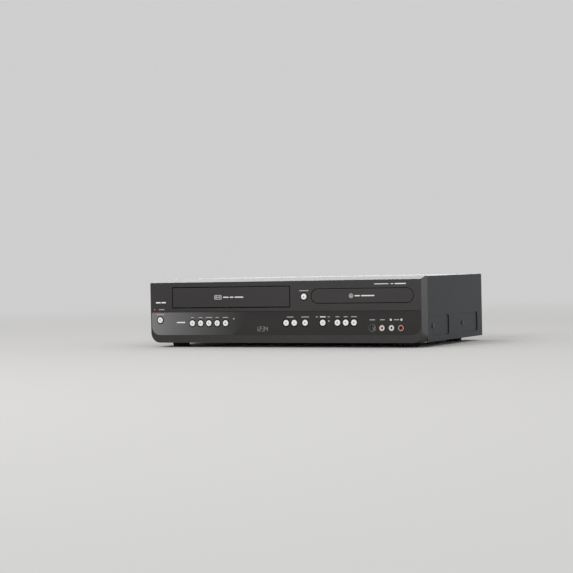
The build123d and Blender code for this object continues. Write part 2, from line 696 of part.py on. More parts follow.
# ---------------------------------------------------------------- keys and front board
def button(x, z):
    cap = forward(x, (-BUTTON_PROUD, FACE_WALL + FIT), z, BUTTON_RADIUS)
    cap = fillet(cap.edges().sort_by(Axis.Y)[0], BUTTON_CROWN)
    flange_y = (FACE_WALL + FIT, FACE_WALL + FIT + BUTTON_FLANGE_SHEET)
    flange = forward(x, flange_y, z, BUTTON_FLANGE)
    return cap + flange + forward(x, (FACE_WALL, STEM_END), z, STEM_RADIUS)


def front_board():
    back = FRONT_BOARD_Y + BOARD
    board = block(FRONT_BOARD_X, (FRONT_BOARD_Y, back), (FRONT_BOARD_LOW, FRONT_BOARD_HIGH))
    tab_x, tab_z = BUTTONS["button_open_close"]
    board += block(
        about(tab_x, SWITCH_SIZE + 1), (FRONT_BOARD_Y, back), (FRONT_BOARD_HIGH, tab_z + SWITCH_SIZE)
    )
    front = FRONT_BOARD_Y - SWITCH_DEPTH
    for x, z in BUTTONS.values():
        half = SWITCH_SIZE / 2
        board += block(about(x, half), (front, FRONT_BOARD_Y), about(z, half))
        board += forward(x, (front - PLUNGER_LENGTH, front), z, PLUNGER_RADIUS)
    plug_z = tuple(FRONT_BOARD_LOW + rise for rise in FRONT_PLUG_RISE)
    for x in FRONT_PLUG_X:
        board += block(about(x, FRONT_PLUG_HALF), (back, back + FRONT_PLUG_DEPTH), plug_z)
    return board


def display_module():
    glass = block(DISPLAY_X, (FACE_WALL + FIT, FRONT_BOARD_Y - 2), DISPLAY_Z)
    base = (DISPLAY_X[0] - 1, DISPLAY_X[1] + 1), (DISPLAY_Z[0] - 1, DISPLAY_Z[1] + 1)
    return glass + block(base[0], (FRONT_BOARD_Y - 2, FRONT_BOARD_Y), base[1])


def indicator_lights():
    pipes = []
    for x, z in LIGHTS:
        pipe = forward(x, (0, LIGHT_LENGTH), z, LIGHT_RADIUS)
        pipe += forward(x, (FACE_WALL + FIT, FACE_WALL + 1.2), z, LIGHT_RADIUS + 0.8)
        pipes.append(fillet(pipe.edges().sort_by(Axis.Y)[0], 0.4))
    return pipes


# ---------------------------------------------------------------- sockets
def phono_core(x, z, front, seat, rear, collar=PHONO_COLLAR):
    """The insulator of a phono socket that faces the front, on its square collar."""
    core = forward(x, (front + PHONO_SETBACK, rear), z, PHONO_RADIUS - PHONO_WALL - SHAFT_PLAY)
    core += block(about(x, collar), (seat, rear), about(z, collar))
    return core - forward(x, (front, front + PHONO_SETBACK + PHONO_HOLE_DEPTH), z, PHONO_PIN_HOLE)


def phono_barrel(x, z, y):
    tube = forward(x, y, z, PHONO_RADIUS) - forward(x, y, z, PHONO_RADIUS - PHONO_WALL)
    return tube


def front_jack(x):
    return phono_core(x, JACK_Z, -FRONT_PROUD, FACE_WALL + 2.5, FRONT_BOARD_Y)


def phono_barrels():
    """The metal barrels of the front jacks, then those of the rear ones."""
    front = (-FRONT_PROUD, FACE_WALL + 2.5)
    barrels = [phono_barrel(x, JACK_Z, front) for x in FRONT_JACKS.values()]
    rear = (PANEL_Y - FIT, BODY_DEPTH + REAR_PROUD)
    return barrels + [phono_barrel(x, z, rear) for x, z in rear_jack_spots()]


def svideo_socket():
    body = forward(SVIDEO_X, (-SVIDEO_PROUD, FRONT_BOARD_Y), JACK_Z, SVIDEO_RADIUS)
    body = fillet(body.edges().sort_by(Axis.Y)[0], 0.4)
    body += block(about(SVIDEO_X, 6.9), (FACE_WALL + 1, FRONT_BOARD_Y), about(JACK_Z, 6.9))
    mouth = (-SVIDEO_PROUD, SVIDEO_DEPTH - SVIDEO_PROUD)
    return body - forward(SVIDEO_X, mouth, JACK_Z, SVIDEO_BORE)


def rear_jacks():
    """Jack housings that stand side by side and two high on the main board."""
    back = PANEL_Y - FIT
    mouth = BODY_DEPTH + REAR_PROUD - PHONO_SETBACK
    jacks = []
    for x, z in rear_jack_spots():
        across, high = about(x, REAR_JACK_PITCH_X / 2), about(z, REAR_JACK_PITCH_Z / 2)
        jack = block(across, (back - REAR_JACK_DEPTH, back), high)
        jack += forward(x, (back, mouth), z, PHONO_RADIUS - PHONO_WALL - SHAFT_PLAY)
        jacks.append(jack - forward(x, (mouth - PHONO_HOLE_DEPTH, mouth + 1), z, PHONO_PIN_HOLE))
    return jacks


def hdmi_socket():
    back = BODY_DEPTH + HDMI_PROUD
    shell = block(about(HDMI_X, HDMI_WIDTH / 2), (back - HDMI_LENGTH, back), about(HDMI_Z, HDMI_HEIGHT / 2))
    mouth = block(
        about(HDMI_X, HDMI_WIDTH / 2 - HDMI_WALL),
        (back - HDMI_DEPTH, back + 1),
        about(HDMI_Z, HDMI_HEIGHT / 2 - HDMI_WALL),
    )
    return shell - mouth


# ---------------------------------------------------------------- boards
def from_corner(board_x, board_y, x, y, z):
    """A block on a board, by its limits from the board's left front corner and from its top."""
    x = tuple(board_x[0] + value for value in x)
    y = tuple(board_y[0] + value for value in y)
    return block(x, y, tuple(BOARD_TOP + value for value in z))


def main_board():
    board = block(MAIN_BOARD_X, MAIN_BOARD_Y, (BOARD_Z, BOARD_TOP))
    for x, y, height in MAIN_CHIPS:
        board += from_corner(MAIN_BOARD_X, MAIN_BOARD_Y, x, y, (0, height))
    radius, height = MAIN_CAP
    for x, y in MAIN_CAPS:
        place = MAIN_BOARD_X[0] + x, MAIN_BOARD_Y[0] + y
        board += upright(*place, (BOARD_TOP, BOARD_TOP + height), radius)
    return board


def power_board():
    board = block(POWER_BOARD_X, POWER_BOARD_Y, (BOARD_Z, BOARD_TOP))
    for limits in POWER_BLOCKS:
        board += from_corner(POWER_BOARD_X, POWER_BOARD_Y, *limits)
    for x, radius, height in POWER_CAPS:
        place = POWER_BOARD_X[0] + x, POWER_BOARD_Y[0] + POWER_CAP_Y
        board += upright(*place, (BOARD_TOP, BOARD_TOP + height), radius)
    return board


# ---------------------------------------------------------------- cassette door and carriage
def cassette_door():
    door = block(about(CASSETTE_X, DOOR_HALF), (0, DOOR_SHEET), (DOOR_LOW, DOOR_TOP))
    door = fillet(door.edges().filter_by(Axis.X).sort_by(Axis.Y)[:2], 0.4)
    door += crosswise(about(CASSETTE_X, DOOR_HALF), DOOR_PIVOT_Y, DOOR_PIVOT_Z, DOOR_KNUCKLE)
    pin_half = DOOR_HALF + DOOR_GAP + DOOR_PIN_LENGTH
    return door + crosswise(about(CASSETTE_X, pin_half), DOOR_PIVOT_Y, DOOR_PIVOT_Z, DOOR_PIN)


def cassette_basket():
    length = (BASKET_FRONT, BASKET_REAR)
    low = CASSETTE_FLOOR - BASKET_SHEET
    roof = (BASKET_ROOF, BASKET_ROOF + BASKET_SHEET)
    basket = block(about(CASSETTE_X, BASKET_OUTER), length, roof)
    pin_y = (SLIDER_FRONT + SLIDER_REAR) / 2
    for sign in (1, -1):
        wall = side(BASKET_INNER, BASKET_OUTER, sign, CASSETTE_X)
        ledge = side(BASKET_INNER - BASKET_LEDGE, BASKET_OUTER, sign, CASSETTE_X)
        basket += block(wall, length, (low, roof[1]))
        basket += block(ledge, length, (low, CASSETTE_FLOOR))
        stop = (BASKET_REAR - BASKET_SHEET, BASKET_REAR)
        basket += block(ledge, stop, (low, CASSETTE_FLOOR + 8))
        pin = side(BASKET_OUTER, SLIDER_OUTER, sign, CASSETTE_X)
        basket += crosswise(pin, pin_y, BASKET_ROOF - 9, SLIDER_PIN)
    window = Pos(CASSETTE_X, FACE_Y + pin_y, roof[0] - 1) * extrude(SlotOverall(90, 18), BASKET_SHEET + 2)
    return basket - window


def basket_slider():
    top = (SLIDER_TOP, SLIDER_TOP + BASKET_SHEET)
    length = (SLIDER_FRONT, SLIDER_REAR)
    slider = block(about(CASSETTE_X, SLIDER_OUTER), length, top)
    pin_y = sum(length) / 2
    high, reach = BASKET_ROOF - 9, SLIDER_PIN + RUN
    low = high - BASKET_DROP
    for sign in (1, -1):
        plate = side(SLIDER_INNER, SLIDER_OUTER, sign, CASSETTE_X)
        slider += block(plate, length, (low - reach - 3, top[1]))
        past = side(SLIDER_INNER - 1, SLIDER_OUTER + 1, sign, CASSETTE_X)
        slider -= block(past, about(pin_y, reach), (low, high))
        slider -= crosswise(past, pin_y, low, reach) + crosswise(past, pin_y, high, reach)
        pin = side(SLIDER_OUTER, CARRIAGE_OUTER + 1, sign, CASSETTE_X)
        for y in (length[0] + 3, length[1] - 3):
            slider += crosswise(pin, y, SLIDER_PIN_Z, SLIDER_PIN)
    return slider - block(about(CASSETTE_X, BASKET_INNER - 20), about(pin_y, 4), (top[0] - 1, top[1] + 1))


def carriage_frame():
    length = (CARRIAGE_FRONT, CARRIAGE_REAR)
    top = (CARRIAGE_TOP, CARRIAGE_TOP + CARRIAGE_SHEET)
    roof_y = (SLIDER_REAR - 4, CARRIAGE_REAR)
    frame = block(about(CASSETTE_X, CARRIAGE_OUTER), roof_y, top)
    reach = SLIDER_PIN + RUN
    slot_y = SLIDER_FRONT + 3, SLIDER_REAR - 3 + BASKET_TRAVEL
    for sign in (1, -1):
        frame += block(side(CARRIAGE_INNER, CARRIAGE_OUTER, sign, CASSETTE_X), length, (DECK_TOP, top[1]))
        past = side(CARRIAGE_INNER - 1, CARRIAGE_OUTER + 1, sign, CASSETTE_X)
        frame -= block(past, slot_y, about(SLIDER_PIN_Z, reach))
        for y in slot_y:
            frame -= crosswise(past, y, SLIDER_PIN_Z, reach)
        foot = side(CARRIAGE_INNER - 8, CARRIAGE_INNER, sign, CASSETTE_X)
        for y in (CARRIAGE_FRONT + 12, CARRIAGE_REAR - 12):
            frame += block(foot, about(y, 5), (DECK_TOP, DECK_TOP + CARRIAGE_SHEET))
    return frame


# ---------------------------------------------------------------- deck
def guide_path(sign):
    """Start and end of a tape guide's path, and its direction, in plan."""
    start = CASSETTE_X + sign * GUIDE_START[0], GUIDE_START[1]
    end = CASSETTE_X + sign * GUIDE_END[0], GUIDE_END[1]
    return start, end


def deck_plate():
    deck = block(about(CASSETTE_X, DECK_HALF), (DECK_FRONT, DECK_REAR), (DECK_LOW, DECK_TOP))
    past = (DECK_LOW - 1, DECK_TOP + 1)
    for sign in (1, -1):
        start, end = guide_path(sign)
        length = math.dist(start, end)
        turn = math.degrees(math.atan2(end[1] - start[1], end[0] - start[0]))
        slot = SlotCenterToCenter(length, 2 * (GUIDE_STUD + RUN))
        middle = (start[0] + end[0]) / 2, (start[1] + end[1]) / 2
        deck -= (
            Pos(middle[0], FACE_Y + middle[1], past[0]) * Rot(0, 0, turn) * extrude(slot, past[1] - past[0])
        )
        reel_x = CASSETTE_X + sign * REEL_SPACING / 2
        deck += upright(reel_x, REEL_Y, (DECK_TOP, REEL_HUB_TOP - 4), REEL_SPINDLE)
    deck += upright(CAPSTAN_X, CAPSTAN_Y, (DECK_LOW - 2, DECK_TOP + 3), 2 * CAPSTAN_RADIUS + 1)
    deck -= upright(CAPSTAN_X, CAPSTAN_Y, (DECK_LOW - 3, DECK_TOP + 4), CAPSTAN_RADIUS + SHAFT_PLAY)
    arm_top = PINCH_ARM_LOW + 3 * PINCH_ARM_SHEET
    deck += upright(PINCH_X, PINCH_Y, (DECK_TOP, PINCH_ARM_LOW - RUN), PINCH_PIVOT_PIN + 2)
    deck += upright(PINCH_X, PINCH_Y, (DECK_TOP, arm_top), PINCH_PIVOT_PIN)
    for x in (-20.0, 20.0):
        deck -= upright(CASSETTE_X + x, REEL_Y - 26, past, 6)
    return deck


def reel(sign):
    """A reel table: a disc, and a hub with six driving ribs."""
    x = CASSETTE_X + sign * REEL_SPACING / 2
    low = DECK_TOP + RUN
    table = upright(x, REEL_Y, (low, low + REEL_DISC), REEL_RADIUS)
    table += upright(x, REEL_Y, (low, REEL_HUB_TOP), REEL_HUB)
    for turn in range(0, 360, 60):
        rib = Pos(REEL_HUB + 0.6, 0, (REEL_HUB_TOP + low + 5) / 2) * Box(2.2, 1.6, REEL_HUB_TOP - low - 5)
        table += Pos(x, FACE_Y + REEL_Y, 0) * Rot(0, 0, turn) * rib
    return table - upright(x, REEL_Y, (low - 1, REEL_HUB_TOP + 1), REEL_SPINDLE + SHAFT_PLAY)


def tilted(z, radius):
    """A cylinder on the drum's leaning axis, between two distances along it."""
    place = Pos(CASSETTE_X, FACE_Y + DRUM_Y, DRUM_BASE_Z) * Rot(-DRUM_TILT, 0, 0)
    return place * Pos(0, 0, sum(z) / 2) * Cylinder(radius, z[1] - z[0])


def drum_base():
    base = tilted((0, DRUM_LOWER_HEIGHT), DRUM_RADIUS)
    base += upright(CASSETTE_X, DRUM_Y, (DECK_TOP, DRUM_BASE_Z + DRUM_LOWER_HEIGHT / 2), DRUM_FOOT_RADIUS)
    return base - tilted((DRUM_LOWER_HEIGHT / 2, DRUM_LOWER_HEIGHT + 1), DRUM_SHAFT + SHAFT_PLAY)


def upper_drum():
    low = DRUM_LOWER_HEIGHT + DRUM_GAP
    high = low + DRUM_UPPER_HEIGHT
    drum = tilted((low, high), DRUM_RADIUS)
    drum = fillet(drum.edges().filter_by(GeomType.CIRCLE).sort_by(Axis.Z)[-1], 1)
    drum -= tilted((high - 3, high + 1), DRUM_RADIUS / 2)
    drum += tilted((DRUM_LOWER_HEIGHT / 2 + RUN, high - 1), DRUM_SHAFT)
    place = Pos(CASSETTE_X, FACE_Y + DRUM_Y, DRUM_BASE_Z) * Rot(-DRUM_TILT, 0, 0)
    for turn in (20, 110, 200, 290):
        notch = Pos(DRUM_RADIUS, 0, low + 1) * Box(3, 2.4, 2.2)
        drum -= place * Rot(0, 0, turn) * notch
    return drum


def capstan():
    wheel = (FLYWHEEL_LOW, FLYWHEEL_LOW + FLYWHEEL_HEIGHT)
    shaft = upright(CAPSTAN_X, CAPSTAN_Y, (FLYWHEEL_LOW, CAPSTAN_TOP), CAPSTAN_RADIUS)
    rotor = upright(CAPSTAN_X, CAPSTAN_Y, wheel, FLYWHEEL_RADIUS)
    return shaft + fillet(rotor.edges().sort_by(Axis.Z)[-1], 1)


def deck_motors():
    high = FLYWHEEL_LOW - RUN
    reach = FLYWHEEL_RADIUS + 6
    stator = upright(CAPSTAN_X, CAPSTAN_Y, (high - STATOR_SHEET, high), reach + 3)
    for turn in (0, 110, 250):
        x = CAPSTAN_X + reach * math.cos(math.radians(turn))
        y = CAPSTAN_Y + reach * math.sin(math.radians(turn))
        stator += upright(x, y, (high, DECK_LOW), 2.5)
    top = DECK_TOP + LOADING_MOTOR_HEIGHT
    motor = upright(LOADING_MOTOR_X, LOADING_MOTOR_Y, (DECK_TOP, top), LOADING_MOTOR_RADIUS)
    motor = fillet(motor.edges().sort_by(Axis.Z)[-1], 1.5)
    motor += upright(LOADING_MOTOR_X, LOADING_MOTOR_Y, (top, top + 9), 1)
    return [stator, motor + upright(LOADING_MOTOR_X, LOADING_MOTOR_Y, (top + 2, top + 8), 2.6)]


def pinch_places():
    """Where the pinch roller stands when it meets the capstan, and when it rests."""
    gap = CAPSTAN_RADIUS + PINCH_ROLLER + RUN
    lean = math.radians(PINCH_LEAN)
    met = CAPSTAN_X + gap * math.cos(lean), CAPSTAN_Y + gap * math.sin(lean)
    dx, dy = met[0] - PINCH_X, met[1] - PINCH_Y
    swing = math.radians(-PINCH_SWING)
    rest = (
        PINCH_X + dx * math.cos(swing) - dy * math.sin(swing),
        PINCH_Y + dx * math.sin(swing) + dy * math.cos(swing),
    )
    return met, rest


def pinch_arm():
    _, rest = pinch_places()
    length = math.dist((PINCH_X, PINCH_Y), rest)
    turn = math.degrees(math.atan2(rest[1] - PINCH_Y, rest[0] - PINCH_X))
    low, high = PINCH_ARM_LOW, PINCH_ARM_LOW + PINCH_ARM_SHEET
    bar = extrude(SlotCenterToCenter(length, 4 * PINCH_PIVOT_PIN), PINCH_ARM_SHEET)
    middle = (PINCH_X + rest[0]) / 2, (PINCH_Y + rest[1]) / 2
    arm = Pos(middle[0], FACE_Y + middle[1], low) * Rot(0, 0, turn) * bar
    arm += upright(PINCH_X, PINCH_Y, (low, high + 1.5 * PINCH_ARM_SHEET), 2 * PINCH_PIVOT_PIN)
    arm -= upright(PINCH_X, PINCH_Y, (low - 1, high + 20), PINCH_PIVOT_PIN + SHAFT_PLAY)
    return arm + upright(*rest, (high, high + PINCH_ROLLER_HEIGHT + 2), PINCH_ROLLER_PIN)


def pinch_roller():
    _, rest = pinch_places()
    low = PINCH_ARM_LOW + PINCH_ARM_SHEET + RUN
    roller = upright(*rest, (low, low + PINCH_ROLLER_HEIGHT), PINCH_ROLLER)
    return roller - upright(*rest, (low - 1, low + 30), PINCH_ROLLER_PIN + SHAFT_PLAY)


def tape_guide(sign):
    start, _ = guide_path(sign)
    low = DECK_TOP + RUN
    guide = upright(*start, (low, low + 3), GUIDE_BLOCK)
    guide += upright(*start, (DECK_LOW - RUN, low), GUIDE_STUD)
    guide += upright(*start, (DECK_LOW - RUN - 2.5, DECK_LOW - RUN), GUIDE_BLOCK - 0.5)
    guide += upright(*start, (low + 3, GUIDE_TOP), GUIDE_ROLLER / 2)
    guide += upright(*start, (low + 6, GUIDE_TOP - 4), GUIDE_ROLLER)
    return guide + upright(*start, (GUIDE_TOP - 3, GUIDE_TOP), GUIDE_ROLLER)


def tape_heads():
    heads = []
    half = HEAD_SIZE / 2
    for sign in (1, -1):
        x = CASSETTE_X + sign * HEAD_OFFSET
        head = upright(x, HEAD_Y, (DECK_TOP, DRUM_BASE_Z + 2), 2)
        head += block(about(x, half), about(HEAD_Y, half), (DRUM_BASE_Z + 2, GUIDE_TOP - 3))
        heads.append(head)
    return heads


# ---------------------------------------------------------------- disc drive
def drive_frame():
    length = (DRIVE_FRONT, DRIVE_REAR)
    floor = (DRIVE_FLOOR, DRIVE_FLOOR_TOP)
    frame = block(about(DISC_X, DRIVE_HALF), length, floor)
    window = TRAVERSE_HALF + 2
    frame -= block(about(DISC_X, window), (TRAVERSE_FRONT - 3, TRAVERSE_REAR + 3), (0, floor[1] + 1))
    bridge_y = about(DISC_Y, BRIDGE_HALF)
    for sign in (1, -1):
        wall = side(DRIVE_INNER, DRIVE_HALF, sign, DISC_X)
        shelf = side(DRIVE_INNER - DRIVE_LEDGE, DRIVE_HALF, sign, DISC_X)
        frame += block(wall, length, (floor[0], DRIVE_TOP))
        frame += block(shelf, length, (DRIVE_LEDGE_LOW, TRAY_LOW - RUN))
        frame += block(shelf, length, (TRAY_TOP + RUN, DRIVE_TOP))
        frame += block(wall, bridge_y, (DRIVE_TOP, BRIDGE_LOW + BRIDGE_SHEET))
    rear = (DRIVE_REAR - DRIVE_WALL, DRIVE_REAR)
    frame += block(about(DISC_X, DRIVE_HALF), rear, (floor[0], DRIVE_TOP))
    front = (DRIVE_FRONT, DRIVE_FRONT + DRIVE_WALL)
    frame += block(about(DISC_X, DRIVE_HALF), front, (floor[0], DRIVE_LEDGE_LOW - 4))
    frame += block(about(DISC_X, DRIVE_HALF), bridge_y, (BRIDGE_LOW, BRIDGE_LOW + BRIDGE_SHEET))
    frame -= upright(DISC_X, DISC_Y, (BRIDGE_LOW - 1, BRIDGE_LOW + 9), CLAMP_NECK + RUN)
    frame += upright(GEAR_X, GEAR_Y, (DRIVE_FLOOR_TOP, TRAY_LOW - 1), GEAR_PIN)
    motor_x = GEAR_X + GEAR_PULLEY + MOTOR_OFFSET
    return frame - upright(motor_x, GEAR_Y, (floor[0] - 1, floor[1] + 1), 2 + RUN)


def disc_tray():
    y = (TRAY_FRONT_SHEET, TRAY_FRONT_SHEET + TRAY_LENGTH)
    tray = block(about(DISC_X, TRAY_HALF), y, (TRAY_LOW, TRAY_TOP))
    tray -= upright(DISC_X, DISC_Y, (TRAY_TOP - DISC_RECESS, TRAY_TOP + 1), DISC_RADIUS + 0.6)
    tray -= upright(DISC_X, DISC_Y, (TRAY_TOP - 4.2, TRAY_TOP), DISC_RADIUS * 2 / 3 + 0.6)
    past = (TRAY_LOW - 1, TRAY_TOP + 1)
    tray -= upright(DISC_X, DISC_Y, past, TRAY_SLOT / 2)
    tray -= block(about(DISC_X, TRAY_SLOT / 2), (DISC_Y, y[1] + 1), past)
    for sign in (1, -1):
        tray -= upright(DISC_X + sign * DISC_RADIUS * 0.92, DISC_Y, (TRAY_TOP - DISC_RECESS, TRAY_TOP + 1), 11)
    return tray + tray_rack()


def rack_reach():
    """Rear end of the rack: it stays in the gear when the tray is out."""
    first = GEAR_Y - 4 * GEAR_MODULE * math.pi
    return first, GEAR_Y + TRAY_TRAVEL + GEAR_MODULE * math.pi


def tooth_half(height):
    """Half the width of a gear or rack tooth at a height over the pitch line."""
    middle = (math.pi * GEAR_MODULE - GEAR_BACKLASH) / 4
    return middle - height * math.tan(math.radians(20))


def tray_rack():
    """A rack under the tray, whose teeth point towards the tray's middle."""
    tip, root = 0.8 * GEAR_MODULE, 1.1 * GEAR_MODULE
    line = DISC_X - RACK_LINE
    z = (TRAY_LOW - RACK_DEPTH, TRAY_LOW)
    rack = block((line - root - RACK_BACK, line - root), rack_reach(), z)
    pitch = math.pi * GEAR_MODULE
    count = int((rack_reach()[1] - GEAR_Y) / pitch)
    teeth = []
    for number in range(-3, count + 1):
        y = GEAR_Y + number * pitch
        low, high = tooth_half(-root), tooth_half(tip)
        shape = Polygon((-root, -low), (tip, -high), (tip, high), (-root, low), align=None)
        teeth.append(Pos(line, FACE_Y + y, z[0]) * extrude(shape, RACK_DEPTH))
    return rack + teeth


def tray_front():
    plate = SlotOverall(TRAY_FRONT_WIDTH, TRAY_FRONT_HEIGHT)
    front = front_plate(plate, DISC_X, (0, TRAY_FRONT_SHEET), TRAY_FRONT_Z)
    return fillet(front.faces().sort_by(Axis.Y)[0].edges(), 0.5)


def tray_gear():
    """The pinion that drives the rack, with its belt pulley below."""
    tip, root = 0.8 * GEAR_MODULE, 1.1 * GEAR_MODULE
    low, high = tooth_half(-root), tooth_half(tip)
    z = (TRAY_LOW - RACK_DEPTH, TRAY_LOW - RUN)
    gear = upright(GEAR_X, GEAR_Y, z, GEAR_RADIUS - root)
    step = 360 / GEAR_TEETH
    for number in range(GEAR_TEETH):
        shape = Polygon(
            (GEAR_RADIUS - root - 0.4, -low),
            (GEAR_RADIUS - root, -low),
            (GEAR_RADIUS + tip, -high),
            (GEAR_RADIUS + tip, high),
            (GEAR_RADIUS - root, low),
            (GEAR_RADIUS - root - 0.4, low),
            align=None,
        )
        turn = 180 + (number + 0.5) * step
        gear += Pos(GEAR_X, FACE_Y + GEAR_Y, z[0]) * Rot(0, 0, turn) * extrude(shape, z[1] - z[0])
    gear += upright(GEAR_X, GEAR_Y, (DRIVE_FLOOR_TOP + RUN, z[0]), GEAR_PIN + 3)
    gear += upright(GEAR_X, GEAR_Y, (PULLEY_LOW, PULLEY_LOW + PULLEY_HEIGHT), GEAR_PULLEY)
    return gear - upright(GEAR_X, GEAR_Y, (DRIVE_FLOOR, TRAY_TOP), GEAR_PIN + SHAFT_PLAY)


def tray_motor():
    x = GEAR_X + GEAR_PULLEY + MOTOR_OFFSET
    motor = upright(x, GEAR_Y, (DRIVE_FLOOR - MOTOR_LENGTH, DRIVE_FLOOR), MOTOR_RADIUS)
    motor = fillet(motor.edges().sort_by(Axis.Z)[0], 1)
    motor += upright(x, GEAR_Y, (DRIVE_FLOOR, PULLEY_LOW + PULLEY_HEIGHT), 1)
    motor += upright(x, GEAR_Y, (PULLEY_LOW, PULLEY_LOW + PULLEY_HEIGHT), MOTOR_PULLEY)

    # the belt runs round both pulleys
    span = x - GEAR_X
    loop = belt_outline(span, SHAFT_PLAY + BELT) - belt_outline(span, SHAFT_PLAY)
    middle = PULLEY_LOW + PULLEY_HEIGHT / 2
    belt = Pos(GEAR_X, FACE_Y + GEAR_Y, middle - BELT / 2) * extrude(loop, BELT)
    return [motor, belt]


def belt_outline(span, grow):
    """The outline round two pulleys a span apart, grown by a margin."""
    return make_hull(
        (
            Circle(GEAR_PULLEY + grow).edges()
            + (Pos(span, 0) * Circle(MOTOR_PULLEY + grow)).edges()
        )
    )


def traverse_frame():
    z = (TRAVERSE_LOW, TRAVERSE_LOW + TRAVERSE_SHEET)
    frame = block(about(DISC_X, TRAVERSE_HALF), (TRAVERSE_FRONT, TRAVERSE_REAR), z)
    frame -= block(
        about(DISC_X, SLED_WINDOW_HALF), (SLED_WINDOW_FRONT, SLED_WINDOW_REAR), (z[0] - 1, z[1] + 1)
    )
    frame += upright(DISC_X, DISC_Y, z, SPINDLE_MOTOR + 1)
    frame += upright(DISC_X, DISC_Y, (z[1], z[1] + SPINDLE_MOTOR_HEIGHT), SPINDLE_MOTOR)
    frame -= upright(DISC_X, DISC_Y, (z[0] - 1, z[1] + 9), SPINDLE_RADIUS + SHAFT_PLAY)
    for sign in (1, -1):
        ear = side(TRAVERSE_HALF, TRAVERSE_HALF + TRAVERSE_EAR, sign, DISC_X)
        for y in (TRAVERSE_FRONT + 8, TRAVERSE_REAR - 8):
            frame += block(ear, about(y, 5), (DRIVE_FLOOR_TOP + RUN, z[1]))
        x = DISC_X + sign * ROD_OFFSET
        frame += forward(x, (SLED_WINDOW_FRONT - 3, SLED_WINDOW_REAR + 3), ROD_Z, ROD_RADIUS)
    return frame


def turntable():
    low, high = TURNTABLE_LOW, TURNTABLE_LOW + TURNTABLE_SHEET
    table = upright(DISC_X, DISC_Y, (low, high), TURNTABLE_RADIUS)
    hub = upright(DISC_X, DISC_Y, (high, high + CENTRING_HEIGHT), CENTRING_RADIUS)
    table += chamfer(hub.edges().sort_by(Axis.Z)[-1], 1)
    return table + upright(DISC_X, DISC_Y, (TRAVERSE_LOW, low), SPINDLE_RADIUS)


def pickup_sled():
    y = (SLED_FRONT, SLED_FRONT + SLED_LENGTH)
    sled = block(about(DISC_X, SLED_HALF), y, (SLED_LOW, SLED_LOW + SLED_SHEET))
    lens_y = sum(y) / 2 + 3
    lens = upright(
        DISC_X, lens_y, (SLED_LOW + SLED_SHEET, SLED_LOW + SLED_SHEET + LENS_RISE), LENS_RADIUS
    )
    sled += fillet(lens.edges().sort_by(Axis.Z)[-1], 1)
    sled -= upright(DISC_X, DISC_Y, (SLED_LOW - 1, TRAY_LOW), SPINDLE_MOTOR + 2.5)
    for sign in (1, -1):
        x = DISC_X + sign * ROD_OFFSET
        sled -= forward(x, (y[0] - 1, y[1] + 1), ROD_Z, ROD_RADIUS + SHAFT_PLAY)
    return sled


def clamper():
    neck = (CLAMP_LOW + BRIDGE_SHEET, BRIDGE_LOW + BRIDGE_SHEET + RUN)
    disc = upright(DISC_X, DISC_Y, (CLAMP_LOW, BRIDGE_LOW - RUN), CLAMP_DISC)
    disc += upright(DISC_X, DISC_Y, neck, CLAMP_NECK)
    disc += upright(DISC_X, DISC_Y, (neck[1], neck[1] + 1.5), CLAMP_FLANGE)
    return fillet(disc.edges().sort_by(Axis.Z)[-1], 0.6)


# ---------------------------------------------------------------- every piece under its name
def build():
    pieces = {
        "front_bezel": front_bezel(),
        "control_window": control_window(),
        "top_cover": top_cover(),
        "bottom_chassis": bottom_chassis(),
        "standoffs": standoffs(),
        "rear_panel": rear_panel(),
        "feet": feet(),
        "cover_screws": cover_screws(),
        "cord_gland": cord_gland(),
        "svideo_socket": svideo_socket(),
        "phono_barrels": phono_barrels(),
        "rear_jacks": rear_jacks(),
        "hdmi_socket": hdmi_socket(),
        "main_board": main_board(),
        "power_board": power_board(),
        "front_board": front_board(),
        "display_module": display_module(),
        "indicator_lights": indicator_lights(),
        "cassette_door": cassette_door(),
        "cassette_basket": cassette_basket(),
        "basket_slider": basket_slider(),
        "carriage_frame": carriage_frame(),
        "deck_plate": deck_plate(),
        "takeup_reel": reel(1),
        "supply_reel": reel(-1),
        "drum_base": drum_base(),
        "upper_drum": upper_drum(),
        "capstan": capstan(),
        "deck_motors": deck_motors(),
        "pinch_arm": pinch_arm(),
        "pinch_roller": pinch_roller(),
        "takeup_guide": tape_guide(1),
        "supply_guide": tape_guide(-1),
        "tape_heads": tape_heads(),
        "drive_frame": drive_frame(),
        "disc_tray": disc_tray(),
        "tray_front": tray_front(),
        "tray_gear": tray_gear(),
        "tray_motor": tray_motor(),
        "traverse_frame": traverse_frame(),
        "turntable": turntable(),
        "pickup_sled": pickup_sled(),
        "clamper": clamper(),
    }
    for name, x in FRONT_JACKS.items():
        pieces[name] = front_jack(x)
    for name, (x, z) in BUTTONS.items():
        pieces[name] = button(x, z)
    return pieces


os.makedirs("parts", exist_ok=True)
for name, shape in build().items():
    solids = shape if isinstance(shape, list) else [shape]
    export_step(Compound(children=[s for item in solids for s in item.solids()]), f"parts/{name}.step")
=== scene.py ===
"""Looks of a table-top player for cassettes and discs.

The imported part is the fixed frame. This script gives each of its nodes a finish, adds the printed
marks, key pictograms, clock digits, lamp lenses and socket rings, and sets up the camera and light.
Sizes are in millimetres, in the part's own frame, until a mesh is made, and then in metres.
"""

from __future__ import annotations

import json
import logging
import math
from dataclasses import dataclass
from enum import Enum, auto

import bmesh
import bpy
import numpy as np
from mathutils import Matrix, Vector


